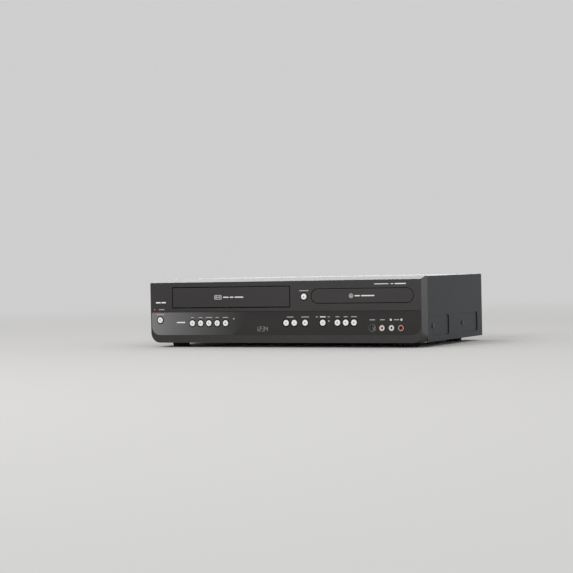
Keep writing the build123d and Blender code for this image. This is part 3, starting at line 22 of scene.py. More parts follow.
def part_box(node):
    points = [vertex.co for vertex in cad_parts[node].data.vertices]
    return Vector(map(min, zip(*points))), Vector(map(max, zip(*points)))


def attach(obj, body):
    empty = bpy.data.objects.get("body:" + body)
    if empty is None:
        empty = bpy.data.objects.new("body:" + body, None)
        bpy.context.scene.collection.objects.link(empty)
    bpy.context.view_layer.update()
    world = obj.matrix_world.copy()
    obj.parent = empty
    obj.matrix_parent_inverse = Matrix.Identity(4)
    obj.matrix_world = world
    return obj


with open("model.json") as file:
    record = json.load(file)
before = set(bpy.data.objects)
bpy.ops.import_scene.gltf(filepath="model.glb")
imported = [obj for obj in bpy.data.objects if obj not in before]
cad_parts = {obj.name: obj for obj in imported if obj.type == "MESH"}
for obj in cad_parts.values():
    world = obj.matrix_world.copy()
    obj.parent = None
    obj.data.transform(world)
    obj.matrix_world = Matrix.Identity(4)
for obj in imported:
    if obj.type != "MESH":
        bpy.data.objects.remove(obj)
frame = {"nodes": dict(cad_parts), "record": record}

LOG = logging.getLogger("player")
MM = 0.001
PRINT_THICKNESS = 0.04  # screen-printed ink, drawn a little thicker than it is
SINK = 0.02  # how far an added piece reaches into what it stands on
SMOOTH_ANGLE = math.radians(35)
WHITE = (1.0, 1.0, 1.0, 1.0)
MIDDLE_OF_NOISE = (0.3, 0.7)  # nearly all of a grain's values lie between these
ENDS_OF_DRIFT = (0.25, 0.75)  # and nearly all of a drift's between these
LEAST_ROUGHNESS = 0.02
MOST_SLOPE = 0.12  # mm that a ring's edge is broken by

Tree = bpy.types.NodeTree
Socket = bpy.types.NodeSocket
Pair = tuple[float, float]
Triple = tuple[float, float, float]


def linear(hex_colour: str) -> tuple[float, float, float, float]:
    """Turn an sRGB hex colour into the linear values that a shader takes.

    Args:
        hex_colour: six hex digits after a hash sign.

    Returns:
        Red, green and blue as linear light, and an alpha of 1.
    """
    channels = np.array([int(hex_colour[i : i + 2], 16) for i in (1, 3, 5)]) / 255
    light = np.where(channels <= 0.04045, channels / 12.92, ((channels + 0.055) / 1.055) ** 2.4)
    return (*light.tolist(), 1.0)


# ---------------- node building
def add(tree: Tree, kind: str, inputs: dict | None = None, **settings: object) -> bpy.types.Node:
    """Add one node with its settings, constants and links.

    Args:
        tree: the node tree that it joins.
        kind: Blender's name of the node type.
        inputs: input name or number, and the constant that it takes or the output that feeds it.
        settings: properties of the node itself, such as its operation.

    Returns:
        The new node.
    """
    node = tree.nodes.new(kind)
    for name, value in settings.items():
        setattr(node, name, value)
    for name, value in (inputs or {}).items():
        if isinstance(value, Socket):
            tree.links.new(value, node.inputs[name])
        else:
            node.inputs[name].default_value = value
    return node


def emptied(owner: bpy.types.Material | bpy.types.World) -> Tree:
    """Clear the nodes that a new material or world starts with.

    Args:
        owner: the material or world.

    Returns:
        Its empty node tree.
    """
    owner.use_nodes = True
    owner.node_tree.nodes.clear()
    return owner.node_tree


def noise(tree: Tree, point: Socket, size: float, detail: float = 2.0, rough: float = 0.5) -> Socket:
    """Add a soft noise.

    Args:
        tree: the node tree that it joins.
        point: where the noise is read.
        size: millimetres across one of its swells.
        detail: number of finer noises on the first one.
        rough: how strong the finer ones are.

    Returns:
        Its value, from 0 to 1.
    """
    inputs = {"Scale": 1 / (size * MM), "Detail": detail, "Roughness": rough, "Vector": point}
    return add(tree, "ShaderNodeTexNoise", inputs).outputs["Fac"]


def spread(tree: Tree, value: Socket, ends: Pair, results: Pair, **settings: object) -> Socket:
    """Map a range of a value onto another range, and hold it at the ends.

    Args:
        tree: the node tree that the mapping joins.
        value: what is mapped.
        ends: where its range starts and stops.
        results: what it becomes there.
        settings: properties of the node, such as its interpolation.

    Returns:
        The mapped value.
    """
    inputs = dict(zip(("From Min", "From Max", "To Min", "To Max"), (*ends, *results)))
    return add(tree, "ShaderNodeMapRange", inputs | {"Value": value}, **settings).outputs["Result"]


def scaled(tree: Tree, colour: Socket | Triple, factor: Socket) -> Socket:
    """A colour times a factor."""
    inputs = {0: colour, "Scale": factor}
    return add(tree, "ShaderNodeVectorMath", inputs, operation="SCALE").outputs["Vector"]


def maths(tree: Tree, operation: str, first: Socket, second: float) -> Socket:
    """One sum of an output and a number."""
    return add(tree, "ShaderNodeMath", {0: first, 1: second}, operation=operation).outputs["Value"]


def blend(tree: Tree, share: float, first: Socket, second: Socket) -> Socket:
    """Two values mixed, with a share of the second."""
    return add(tree, "ShaderNodeMix", {0: share, 2: first, 3: second}).outputs[0]


def choice(tree: Tree, which: Socket, first: object, second: object) -> Socket:
    """The first colour where an output is 0, and the second where it is 1."""
    inputs = {0: which, 6: first, 7: second}
    return add(tree, "ShaderNodeMix", inputs, data_type="RGBA").outputs[2]


@dataclass(frozen=True)
class Finish:
    """What every finish has: a colour, a gloss and the grain of its surface.

    The grain is a noise of the stated size, which bumps the surface and paints its hollows darker
    and its tops lighter, as painted shade and light; a larger and fainter one shifts the colour, as
    handling and moulding do.
    """

    name: str
    colour: str
    roughness: float = 0.5
    metallic: float = 0.0
    ior: float = 1.5
    grain: float = 0.5  # mm between grains
    relief: float = 0.01  # mm from the grain's floor to its tops
    shift: float = 0.06  # share by which the colour drifts
    drift_size: float = 45.0  # mm over which it drifts
    gloss_shift: float = 0.05  # how far the grain moves the roughness up and down
    # painted shade and light: share by which the grain's hollows are painted darker and its tops lighter
    grain_painted_shade: float = 0.04  # share by which the grain's tops are lighter than its floor
    edge: float = 0.25  # mm, radius that a moulded or folded edge has

    def pattern(self, tree: Tree, point: Socket) -> Socket:
        """The height of the surface grain, from 0 to 1: a noise whose swells are one grain wide."""
        return noise(tree, point, self.grain, rough=0.6)

    def tint(self, tree: Tree, point: Socket) -> Socket:
        """The finish's own colour, made lighter and darker by a large soft noise.

        Args:
            tree: the material's nodes.
            point: the place on the piece.

        Returns:
            The colour there.
        """
        drift = noise(tree, point, self.drift_size, detail=3.0)
        level = spread(tree, drift, ENDS_OF_DRIFT, (1 - self.shift, 1 + self.shift))
        return scaled(tree, linear(self.colour)[:3], level)

    def material(self) -> bpy.types.Material:
        """Build the material, or fetch it where it is already there.

        Returns:
            A material that reads Object coordinates alone.
        """
        made = bpy.data.materials.get(self.name)
        if made:
            return made
        made = bpy.data.materials.new(self.name)
        tree = emptied(made)
        point = add(tree, "ShaderNodeTexCoord").outputs["Object"]
        height = self.pattern(tree, point)
        low = max(self.roughness - self.gloss_shift, LEAST_ROUGHNESS)
        high = min(self.roughness + self.gloss_shift, 1.0)
        # painted shade and light: the colour is darker in the grain's hollows and lighter on its tops
        grain_shade_paint = spread(tree, height, MIDDLE_OF_NOISE, (1 - self.grain_painted_shade, 1 + self.grain_painted_shade))
        rounded = add(tree, "ShaderNodeBevel", {"Radius": self.edge * MM}, samples=4)
        relief = {"Strength": 1.0, "Distance": self.relief * MM}
        relief |= {"Height": height, "Normal": rounded.outputs["Normal"]}
        inputs = {
            "Metallic": self.metallic,
            "IOR": self.ior,
            "Base Color": scaled(tree, self.tint(tree, point), grain_shade_paint),
            "Roughness": spread(tree, height, MIDDLE_OF_NOISE, (low, high)),
            "Normal": add(tree, "ShaderNodeBump", relief).outputs["Normal"],
        }
        shader = add(tree, "ShaderNodeBsdfPrincipled", inputs)
        self.extra(shader)
        add(tree, "ShaderNodeOutputMaterial", {"Surface": shader.outputs["BSDF"]})
        return made

    def extra(self, shader: bpy.types.Node) -> None:
        """Nothing more by default; a finish that glows or lets light through sets it here."""


@dataclass(frozen=True)
class RolledSteel(Finish):
    """Sheet steel: the rolls leave long fine lines along one axis, and zinc adds soft spangles."""

    spangle: float = 6.5  # mm across a zinc crystal
    line: float = 0.35  # mm between rolling lines, drawn coarser than they are
    share: float = 0.16  # share of the spangles in the pattern
    stretch: Triple = (1.0, 0.025, 0.025)  # lines are forty times longer than wide

    def pattern(self, tree: Tree, point: Socket) -> Socket:
        """Long lines, mixed with the flat cells of zinc crystals.

        Args:
            tree: the material's nodes.
            point: the place on the piece.

        Returns:
            The height there, from 0 to 1.
        """
        stretched = add(tree, "ShaderNodeMapping", {"Scale": self.stretch, "Vector": point})
        lines = noise(tree, stretched.outputs["Vector"], self.line)
        cells = add(tree, "ShaderNodeTexVoronoi", {"Scale": 1 / (self.spangle * MM), "Vector": point})
        cell = add(tree, "ShaderNodeSeparateColor", {"Color": cells.outputs["Color"]})
        return blend(tree, self.share, lines, cell.outputs["Red"])


@dataclass(frozen=True)
class PowderCoat(Finish):
    """Baked powder: fine pebbles on a longer, lower swell, like orange peel."""

    swell: float = 3.2  # mm

    def pattern(self, tree: Tree, point: Socket) -> Socket:
        """Rounded cells a pebble wide, and a soft noise a swell wide, in equal parts.

        Args:
            tree: the material's nodes.
            point: the place on the piece.

        Returns:
            The height there, from 0 to 1.
        """
        inputs = {"Scale": 1 / (self.grain * MM), "Smoothness": 0.7, "Vector": point}
        cells = add(tree, "ShaderNodeTexVoronoi", inputs, feature="SMOOTH_F1")
        return blend(tree, 0.5, cells.outputs["Distance"], noise(tree, point, self.swell))


@dataclass(frozen=True)
class TurnedMetal(Finish):
    """Metal off a lathe: the tool leaves fine rings, one over another along the upright axis."""

    stretch: Triple = (0.02, 0.02, 1.0)  # fifty times finer along Z than across

    def pattern(self, tree: Tree, point: Socket) -> Socket:
        """A noise that reads as level rings."""
        level = add(tree, "ShaderNodeMapping", {"Scale": self.stretch, "Vector": point})
        return noise(tree, level.outputs["Vector"], self.grain, detail=1.0)


@dataclass(frozen=True)
class PaintedGapShade(Finish):
    """Painted shade for the gap round a key: a near-black ring with little sheen on the face, where the
    narrow recess is in shade.
    """

    sheen: float = 0.08

    def extra(self, shader: bpy.types.Node) -> None:
        """Take most of the sheen off."""
        shader.inputs["Specular IOR Level"].default_value = self.sheen


@dataclass(frozen=True)
class ClearPlastic(Finish):
    """Plastic that lets some light in, which softens its shading."""

    depth: float = 0.4  # share of light that goes into it

    def extra(self, shader: bpy.types.Node) -> None:
        """Scatter part of the light under the skin, over about a millimetre."""
        shader.inputs["Subsurface Weight"].default_value = self.depth
        shader.inputs["Subsurface Scale"].default_value = 1.0 * MM


@dataclass(frozen=True)
class CircuitBoard(Finish):
    """Solder mask over copper tracks, with darker parts standing on the board."""

    track: float = 2.2  # mm between tracks
    track_start: float = 0.45  # share of that from a cell's middle, where the track begins
    track_colour: str = "#3d7a4c"
    part_colour: str = "#1b1b1d"
    board_top: float = 17.7  # mm, parts stand over this height

    def tint(self, tree: Tree, point: Socket) -> Socket:
        """Cells with paler edges for the tracks, and a dark colour over the board's top.

        Args:
            tree: the material's nodes.
            point: the place on the piece.

        Returns:
            The colour there.
        """
        inputs = {"Scale": 1 / (self.track * MM), "Vector": point}
        cells = add(tree, "ShaderNodeTexVoronoi", inputs, feature="F1", distance="CHEBYCHEV")
        track = maths(tree, "GREATER_THAN", cells.outputs["Distance"], self.track_start)
        board = choice(tree, track, linear(self.colour), linear(self.track_colour))
        height = add(tree, "ShaderNodeSeparateXYZ", {"Vector": point}).outputs["Z"]
        over = maths(tree, "GREATER_THAN", height, self.board_top * MM)
        return choice(tree, over, board, linear(self.part_colour))


@dataclass(frozen=True)
class PaperSweep(Finish):
    """Seamless studio paper: quite matt, and with distance it takes on the backdrop's own light."""

    level: float = 0.6
    fade: Pair = (0.6, 2.6)  # m from the middle, where the paper starts to fade and where it ends

    def material(self) -> bpy.types.Material:
        """Mix the paper with the backdrop's light, by the distance from the middle.

        Returns:
            The paper's material.
        """
        made = super().material()
        tree = made.node_tree
        output = next(n for n in tree.nodes if n.type == "OUTPUT_MATERIAL")
        paper = output.inputs["Surface"].links[0].from_socket
        point = add(tree, "ShaderNodeTexCoord").outputs["Object"]
        away = add(tree, "ShaderNodeVectorMath", {0: point}, operation="LENGTH").outputs["Value"]
        faded = spread(tree, away, self.fade, (0.0, 1.0), interpolation_type="SMOOTHSTEP")
        light = add(tree, "ShaderNodeEmission", {"Color": WHITE, "Strength": self.level})
        mix = add(tree, "ShaderNodeMixShader", {0: faded, 1: paper, 2: light.outputs["Emission"]})
        tree.links.new(mix.outputs["Shader"], output.inputs["Surface"])
        return made

    def extra(self, shader: bpy.types.Node) -> None:
        """Paper has no sheen that shows."""
        shader.inputs["Specular IOR Level"].default_value = 0.0


@dataclass(frozen=True)
class Glowing(Finish):
    """A lens or a lit digit, which gives light of its own."""

    glow: float = 0.5

    def extra(self, shader: bpy.types.Node) -> None:
        """Set the light that it gives on the shader's own sockets."""
        shader.inputs["Emission Color"].default_value = linear(self.colour)
        shader.inputs["Emission Strength"].default_value = self.glow


def ink(name: str, colour: str, roughness: float = 0.55) -> Finish:
    """Screen-printed ink: thin, even and matt."""
    return Finish(name, colour, roughness, grain=0.2, relief=0.003, shift=0.03, edge=0.02)


# The finish of each material slot of the record.
FINISHES: dict[str, Finish] = {
    # ABS from a spark-eroded mould: an even matt grain that takes the shine off, with strong painted shade
    # in the grain's hollows
    "bezel_plastic": Finish(
        "moulded_abs", "#2d2a2a", 0.4, relief=0.012, gloss_shift=0.08, grain_painted_shade=0.14, edge=0.3
    ),
    # Cast acrylic, smoke tinted and polished: mirror-like, with a faint waviness
    "window_acrylic": Finish(
        "polished_smoke_acrylic", "#1c1a19", 0.05, 0.0, 1.49, 14.0, 0.004, gloss_shift=0.02, edge=0.2
    ),
    # Powder coat on steel: a fine pebble, satin, with painted shade in the pebbles' hollows
    "cover_paint": PowderCoat(
        "powder_coated_steel", "#161d23", 0.42, ior=1.42, grain=0.8, grain_painted_shade=0.08, edge=0.5
    ),
    # Zinc-plated sheet: grey, softly spangled metal
    "zinc_steel": RolledSteel(
        "zinc_plated_steel", "#b9bab8", 0.36, 1.0, relief=0.003, gloss_shift=0.04, edge=0.15
    ),
    # Black rubber: dull, slightly chalky
    "foot_rubber": Finish("moulded_rubber", "#1d1c1c", 0.85, grain=0.8, relief=0.03),
    # Zinc-nickel screws: dark, slightly warm metal
    "screw_steel": Finish("zinc_nickel_steel", "#6f6962", 0.3, 1.0, grain=0.3, relief=0.005, edge=0.15),
    # Sockets, gland and mechanism frames: plain black mouldings
    "black_plastic": Finish("moulded_black_plastic", "#1b1b1c", 0.45),
    # Nickel over brass: bright and slightly warm
    "nickel": Finish("nickel_plated_brass", "#d9d5cc", 0.16, 1.0, grain=0.4, relief=0.002, edge=0.12),
    # Coloured cores of the phono sockets
    "red_insulator": Finish("red_insulator", "#5e1d1c", 0.35, grain=0.4, relief=0.006, edge=0.1),
    "dark_insulator": Finish("dark_insulator", "#161515", 0.35, grain=0.4, relief=0.006, edge=0.1),
    # Fibreglass board under green solder mask
    "circuit_board": CircuitBoard("solder_masked_board", "#245236", 0.35, grain=0.6, relief=0.02),
    # The clock tube: smooth glass, nearly black when off
    "display_glass": Finish("display_tube_glass", "#171c1d", 0.06, ior=1.52, grain=20.0, relief=0.001),
    # Acrylic rods that carry the lamps' light to the front
    "light_pipe": ClearPlastic("clear_light_pipe", "#8c8280", 0.25, ior=1.49, grain=2.0, relief=0.002),
    # Keys: ABS with a satin skin, slightly warm white
    "button_white": Finish(
        "satin_white_abs", "#f8f6f3", 0.3, grain=0.6, relief=0.004, shift=0.02, edge=0.2
    ),
    # Turned parts: bright metal with level tool rings
    "drum_aluminium": TurnedMetal("turned_aluminium", "#c9cacb", 0.22, 1.0, relief=0.004),
    "turned_steel": TurnedMetal("turned_steel", "#b4b4b6", 0.2, 1.0, grain=0.4, relief=0.003),
    # Drawn and plated motor cans: smooth, a little dull
    "motor_steel": Finish("plated_motor_can", "#a8a9a8", 0.3, 1.0, relief=0.004),
    # Rubber ground to size: quite matt
    "roller_rubber": Finish("ground_rubber", "#202020", 0.8, grain=0.4, relief=0.01),
    # Nylon gears and reels: milky, light goes a little way in
    "white_nylon": ClearPlastic(
        "moulded_nylon", "#dcdad2", 0.45, relief=0.006, shift=0.03, depth=0.15
    ),
    # Glass-filled plastic of the disc drive
    "drive_plastic": Finish("glass_filled_plastic", "#242527", 0.5, grain=0.9, relief=0.012),
}
PANEL_INK = ink("black_panel_ink", "#242424", 0.5)
WHITE_INK = ink("white_ink", "#f1efec")
GREY_INK = ink("grey_ink", "#b3afac")
KEY_INK = ink("key_grey_ink", "#6d6b6b", 0.5)
# painted shade: a near-black ring round each key that stands in for the shade in its gap
KEY_GAP_PAINTED_SHADE = PaintedGapShade("painted_key_gap_shade", "#060505", 0.7, grain=0.4, relief=0.006, edge=0.05)
DIGIT_GLOW = Glowing("lit_clock_digit", "#94918d", 0.3, relief=0.001, glow=0.22, edge=0.02)
RED_LENS = Glowing("red_lamp_lens", "#e0403a", 0.2, relief=0.002, glow=0.35, edge=0.05)
PALE_LENS = Glowing("frosted_lamp_lens", "#b9b3b0", 0.35, relief=0.004, glow=0.05, edge=0.05)
# painted highlight: a pale grey ring that stands in for the light on the data socket's front edge
SOCKET_EDGE_PAINTED_HIGHLIGHT = Finish("painted_highlight_socket_edge", "#6f7171", 0.4, grain=0.4, relief=0.006, edge=0.05)
CORE_COLOURS = {
    "cream": "#e6d3cd",
    "yellow": "#d8b32c",
    "white": "#e8e6e2",
    "red": "#8e2a28",
    "green": "#2f7d46",
    "blue": "#27529c",
    "orange": "#c96a24",
}
CORES = {
    word: Finish(f"{word}_socket_ring", colour, 0.4, grain=0.4, relief=0.004, edge=0.05)
    for word, colour in CORE_COLOURS.items()
}


# ---------------- shapes
@dataclass
class Shape:
    """A closed mesh in millimetres: its points and its faces."""

    points: np.ndarray
    faces: list[tuple[int, ...]]

    @staticmethod
    def joined(shapes: list[Shape]) -> Shape:
        """Make one shape of several; each face's numbers move past the points before it.

        Args:
            shapes: the shapes, in order.

        Returns:
            One shape with all their points and faces.
        """
        starts = np.cumsum([0] + [len(s.points) for s in shapes])
        faces = [tuple(int(i + start) for i in f) for s, start in zip(shapes, starts) for f in s.faces]
        return Shape(np.vstack([s.points for s in shapes]), faces)

    def moved(self, x: float = 0.0, y: float = 0.0, z: float = 0.0) -> Shape:
        """The same shape, shifted."""
        return Shape(self.points + np.array([x, y, z]), self.faces)


def grid_faces(rows: int, columns: int, rows_close: bool, columns_close: bool) -> list[tuple[int, ...]]:
    """Quads between neighbouring points of a grid, wrapped round where it closes.

    Args:
        rows: points along the first parameter.
        columns: points along the second parameter.
        rows_close: the last row joins the first.
        columns_close: the last column joins the first.

    Returns:
        Four point numbers for each face.
    """
    i, j = np.meshgrid(
        np.arange(rows if rows_close else rows - 1),
        np.arange(columns if columns_close else columns - 1),
        indexing="ij",
    )
    down, right = (i + 1) % rows, (j + 1) % columns
    here, below = i * columns, down * columns
    quads = np.stack([here + j, here + right, below + right, below + j], -1)
    return [tuple(q) for q in quads.reshape(-1, 4).tolist()]


def plate(outline: np.ndarray, front: float, back: float) -> Shape:
    """A flat plate: its outline is drawn at the front and at the back, and a wall joins them.

    Args:
        outline: points (n, 2) of x and z, in order round a convex outline.
        front: y of the front face.
        back: y of the back face.

    Returns:
        The closed plate.
    """
    count = len(outline)
    x, z = outline[:, 0], outline[:, 1]
    rows = [np.stack([x, np.full(count, y), z], 1) for y in (front, back)]
    faces = grid_faces(2, count, False, True)
    faces += [tuple(range(count)), tuple(range(2 * count - 1, count - 1, -1))]
    return Shape(np.vstack(rows), faces)


def band(path: np.ndarray, width: float, front: float, back: float, closed: bool = False) -> Shape:
    """A line of ink: a flat rectangle carried along a path, square to it.

    At each point the rectangle's sides lie half a width to each side along the path's normal, which
    is the direction between the neighbouring points, turned a quarter.

    Args:
        path: points (n, 2) of x and z.
        width: width of the line.
        front: y of its front face.
        back: y of its back face.
        closed: the path ends where it starts.

    Returns:
        The closed line.
    """
    if closed:
        ahead, behind = np.roll(path, -1, 0), np.roll(path, 1, 0)
    else:
        ahead, behind = np.vstack([path[1:], path[-1:]]), np.vstack([path[:1], path[:-1]])
    along = ahead - behind
    along /= np.linalg.norm(along, axis=1, keepdims=True)
    aside = np.stack([-along[:, 1], along[:, 0]], 1) * width / 2
    count = len(path)
    corners = [(1, front), (-1, front), (-1, back), (1, back)]
    sides = [(path + side * aside, y) for side, y in corners]
    rows = [np.stack([p[:, 0], np.full(count, y), p[:, 1]], 1) for p, y in sides]
    points = np.stack(rows, 1).reshape(-1, 3)
    faces = grid_faces(count, 4, closed, True)
    if not closed:
        last = 4 * (count - 1)
        faces += [(3, 2, 1, 0), (last, last + 1, last + 2, last + 3)]
    return Shape(points, faces)


def turned(profile: np.ndarray, centre: Pair, segments: int = 48) -> Shape:
    """A turned piece: a closed profile of radius and y is carried round an axis along Y.

    A profile point (r, y) at the angle a lies at (r cos a, y, r sin a) from the axis.

    Args:
        profile: points (n, 2) of radius and y, in order round the section.
        centre: x and z of the axis.
        segments: steps round the axis.

    Returns:
        The closed ring, or a solid one where the profile touches the axis.
    """
    angle = np.arange(segments) * 2 * math.pi / segments
    radius, depth = profile[:, 0][None, :], profile[:, 1][None, :]
    x = centre[0] + radius * np.cos(angle)[:, None]
    z = centre[1] + radius * np.sin(angle)[:, None]
    y = np.broadcast_to(depth, x.shape)
    points = np.stack([x, y, z], -1).reshape(-1, 3)
    return Shape(points, grid_faces(segments, len(profile), True, True))


def ring(centre: Pair, radii: Pair, front: float, back: float) -> Shape:
    """A flat ring between two radii, with its outer front edge broken by a small slope.

    Args:
        centre: x and z of the axis.
        radii: the inner and the outer radius.
        front: y of the face that shows.
        back: y of the other face.

    Returns:
        The closed ring.
    """
    inner, outer = radii
    slope = min(MOST_SLOPE, (outer - inner) / 3, abs(back - front) / 2)
    away = math.copysign(slope, back - front)
    profile = [(inner, front), (outer - slope, front), (outer, front + away), (outer, back), (inner, back)]
    return turned(np.array(profile), centre)


def dome(centre: Pair, radius: float, front: float, back: float) -> Shape:
    """A lens: an elliptical arc from the axis to the rim, then straight back to a flat base.

    Args:
        centre: x and z of the axis.
        radius: radius of the rim.
        front: y of the tip.
        back: y of the base.

    Returns:
        The closed lens.
    """
    t = np.linspace(0, math.pi / 2, 9)
    arc = np.stack([radius * np.sin(t), back + (front - back) * np.cos(t)], 1)
    return turned(np.vstack([arc, [[0.0, back]]]), centre, 32)


def circle(radius: float, count: int = 32, x: float = 0.0, z: float = 0.0) -> np.ndarray:
    """Points round a circle."""
    angle = np.arange(count) * 2 * math.pi / count
    return np.stack([x + radius * np.cos(angle), z + radius * np.sin(angle)], 1)


def box_outline(width: float, height: float, x: float = 0.0, z: float = 0.0) -> np.ndarray:
    """The four corners of a rectangle round a middle."""
    corners = np.array([(-1, -1), (1, -1), (1, 1), (-1, 1)]) / 2
    return corners * (width, height) + (x, z)


def rounded_outline(width: float, height: float, radius: float, x: float, z: float) -> np.ndarray:
    """A rectangle with round corners: quarter circles round four centres.

    Args:
        width: its whole width.
        height: its whole height.
        radius: radius of its corners.
        x: x of its middle.
        z: z of its middle.

    Returns:
        Points (n, 2), in order.
    """
    signs = np.array([(1, 1), (-1, 1), (-1, -1), (1, -1)])
    centres = signs * (width / 2 - radius, height / 2 - radius)
    turn = np.arange(4)[:, None] * math.pi / 2 + np.linspace(0, math.pi / 2, 7)[None, :]
    corner = centres[:, None, :] + radius * np.stack([np.cos(turn), np.sin(turn)], -1)
    return corner.reshape(-1, 2) + (x, z)


def triangle(width: float, height: float, x: float = 0.0, z: float = 0.0, turn: int = 0) -> np.ndarray:
    """A triangle that points to +x, turned by quarters round its middle.

    Args:
        width: length from its base to its point.
        height: length of its base.
        x: x of its middle.
        z: z of its middle.
        turn: quarter turns, against the clock.

    Returns:
        Its three corners.
    """
    corners = np.array([(-width / 2, -height / 2), (width / 2, 0), (-width / 2, height / 2)])
    c, s = (1, 0, -1, 0)[turn % 4], (0, 1, 0, -1)[turn % 4]
    return corners @ np.array([(c, s), (-s, c)]) + (x, z)


def printed(outline: np.ndarray, face: float, side: int = -1) -> Shape:
    """An ink mark on a face that looks to the front, or to the rear where side is 1."""
    return plate(outline, face + side * PRINT_THICKNESS, face - side * SINK)


def printed_line(path: np.ndarray, width: float, face: float, closed: bool = True) -> Shape:
    """An ink line on a face that looks to the front."""
    return band(path, width, face - PRINT_THICKNESS, face + SINK, closed)


# ---------------- pieces
def placed(name: str, data: bpy.types.ID) -> bpy.types.Object:
    """Make a new object of the scene, at the origin.

    Args:
        name: its name.
        data: its mesh, lamp or camera.

    Returns:
        The object.
    """
    made = bpy.data.objects.new(name, data)
    bpy.context.scene.collection.objects.link(made)
    return made


def staged(name: str, points: list[Triple], material: bpy.types.Material) -> bpy.types.Object:
    """Make a flat face of the studio, which isn't a part of the player.

    Args:
        name: the object's name.
        points: its corners in metres, in order.
        material: what it is made of.

    Returns:
        The object.
    """
    mesh = bpy.data.meshes.new(name)
    mesh.from_pydata(points, [], [tuple(range(len(points)))])
    mesh.materials.append(material)
    made = placed(name, mesh)
    return made


def box_mm(node: str) -> tuple[np.ndarray, np.ndarray]:
    """The lowest and highest corner of a CAD node, in millimetres."""
    low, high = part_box(node)
    return np.array(low) / MM, np.array(high) / MM


def middle_mm(node: str) -> Pair:
    """The x and z of a CAD node's middle, in millimetres."""
    low, high = box_mm(node)
    return (float(low[0] + high[0]) / 2, float(low[2] + high[2]) / 2)


def front_mm(node: str) -> float:
    """The y of a CAD node's front, in millimetres."""
    return float(box_mm(node)[0][1])


def rear_jacks() -> list[Triple]:
    """Find the rear jacks in the record.

    Returns:
        The x, z and rear face of each, in millimetres, the upper row first and along x.
    """
    jacks = []
    for mount in frame["record"]["mounts"]:
        if mount["name"].startswith("rear_jack_"):
            x, y, z = (v / MM for v in mount["pos_m"])
            jacks.append((x, z, y + mount["dims"]["length_mm"] / 2))
    return sorted(jacks, key=lambda jack: (-jack[1], jack[0]))


@dataclass
class Trim:
    """A group of added pieces; its fields are their sizes, and face is the y of the player's front."""

    face: float

    def piece(
        self, name: str, shapes: list[Shape], finish: Finish, slot: str, body: str = "casing"
    ) -> None:
        """Make one Blender object, with its place in its mesh.

        Args:
            name: the object's name.
            shapes: what its mesh is made of, in millimetres.
            finish: what it is made of.
            slot: the record's material slot; not used.
            body: the moving body that it rides on.
        """
        shape = Shape.joined(shapes)
        mesh = bpy.data.meshes.new(name)
        mesh.from_pydata((shape.points * MM).tolist(), [], shape.faces)
        work = bmesh.new()
        work.from_mesh(mesh)
        bmesh.ops.remove_doubles(work, verts=work.verts, dist=1e-7)
        bmesh.ops.recalc_face_normals(work, faces=work.faces)
        work.to_mesh(mesh)
        work.free()
        mesh.polygons.foreach_set("use_smooth", np.ones(len(mesh.polygons), bool))
        mesh.set_sharp_from_angle(angle=SMOOTH_ANGLE)
        mesh.materials.append(finish.material())
        made = placed(name, mesh)
        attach(made, body)
        LOG.info("%s: %d faces, rides on %s", name, len(mesh.polygons), body)


class Glyph(Enum):
    """The plain pictograms of the keys."""

    POWER = auto()
    EJECT = auto()
    REWIND = auto()
    FORWARD = auto()
    PLAY = auto()
    STOP = auto()
    RECORD = auto()
    DOWN = auto()
    UP = auto()
    SELECT = auto()
    EXCHANGE = auto()


# The outlines of each pictogram but the power sign, in shares of its height.
OUTLINES: dict[Glyph, list[np.ndarray]] = {
    Glyph.EJECT: [triangle(0.6, 1.0, 0, 0.18, 1), box_outline(1.0, 0.2, 0, -0.38)],
    Glyph.REWIND: [triangle(0.5, 0.8, x, 0, 2) for x in (-0.25, 0.25)],
    Glyph.FORWARD: [triangle(0.5, 0.8, x) for x in (-0.25, 0.25)],
    Glyph.PLAY: [triangle(0.85, 1.0, 0.08)],
    Glyph.STOP: [box_outline(0.8, 0.8)],
    Glyph.RECORD: [circle(0.44)],
    Glyph.DOWN: [triangle(0.7, 1.0, 0, 0, 3)],
    Glyph.UP: [triangle(0.7, 1.0, 0, 0, 1)],
    Glyph.SELECT: [box_outline(0.8, 0.2, 0, z) for z in (-0.3, 0.0, 0.3)],
    Glyph.EXCHANGE: [triangle(0.45, 0.8, 0.3), triangle(0.45, 0.8, -0.3, 0, 2)],
}


def glyph_shape(glyph: Glyph, size: float, face: float) -> Shape:
    """Draw a pictogram round the middle of a face.

    Args:
        glyph: which pictogram.
        size: its height in millimetres.
        face: y of what it is printed on.

    Returns:
        One shape of flat plates and lines.
    """
    if glyph is not Glyph.POWER:
        return Shape.joined([printed(outline * size, face) for outline in OUTLINES[glyph]])
    stroke = 0.16
    angle = np.radians(np.linspace(125, 415, 20))
    arc = np.stack([np.cos(angle), np.sin(angle)], 1) / 2
    bar = box_outline(stroke, 0.55, 0, 0.375)
    line = printed_line(arc * size, stroke * size, face, closed=False)
    return Shape.joined([line, printed(bar * size, face)])


# The pictogram of each key, and the width of the bar over it where it has one of its own.
KEYS: dict[str, tuple[Glyph, float | None]] = {
    "standby": (Glyph.POWER, 13.0),
    "open_close": (Glyph.EJECT, 14.5),
    "rewind": (Glyph.REWIND, 5.0),
    "fast_forward": (Glyph.FORWARD, 6.2),
    "stop_eject": (Glyph.EJECT, 11.0),
    "vcr_play": (Glyph.PLAY, 5.0),
    "vcr_record": (Glyph.RECORD, 9.0),
    "channel_down": (Glyph.DOWN, None),
    "channel_up": (Glyph.UP, None),
    "source": (Glyph.SELECT, 12.0),
    "dubbing": (Glyph.EXCHANGE, None),
    "dvd_stop": (Glyph.STOP, 6.0),
    "dvd_play": (Glyph.PLAY, 6.0),
    "dvd_record": (Glyph.RECORD, 9.0),
}


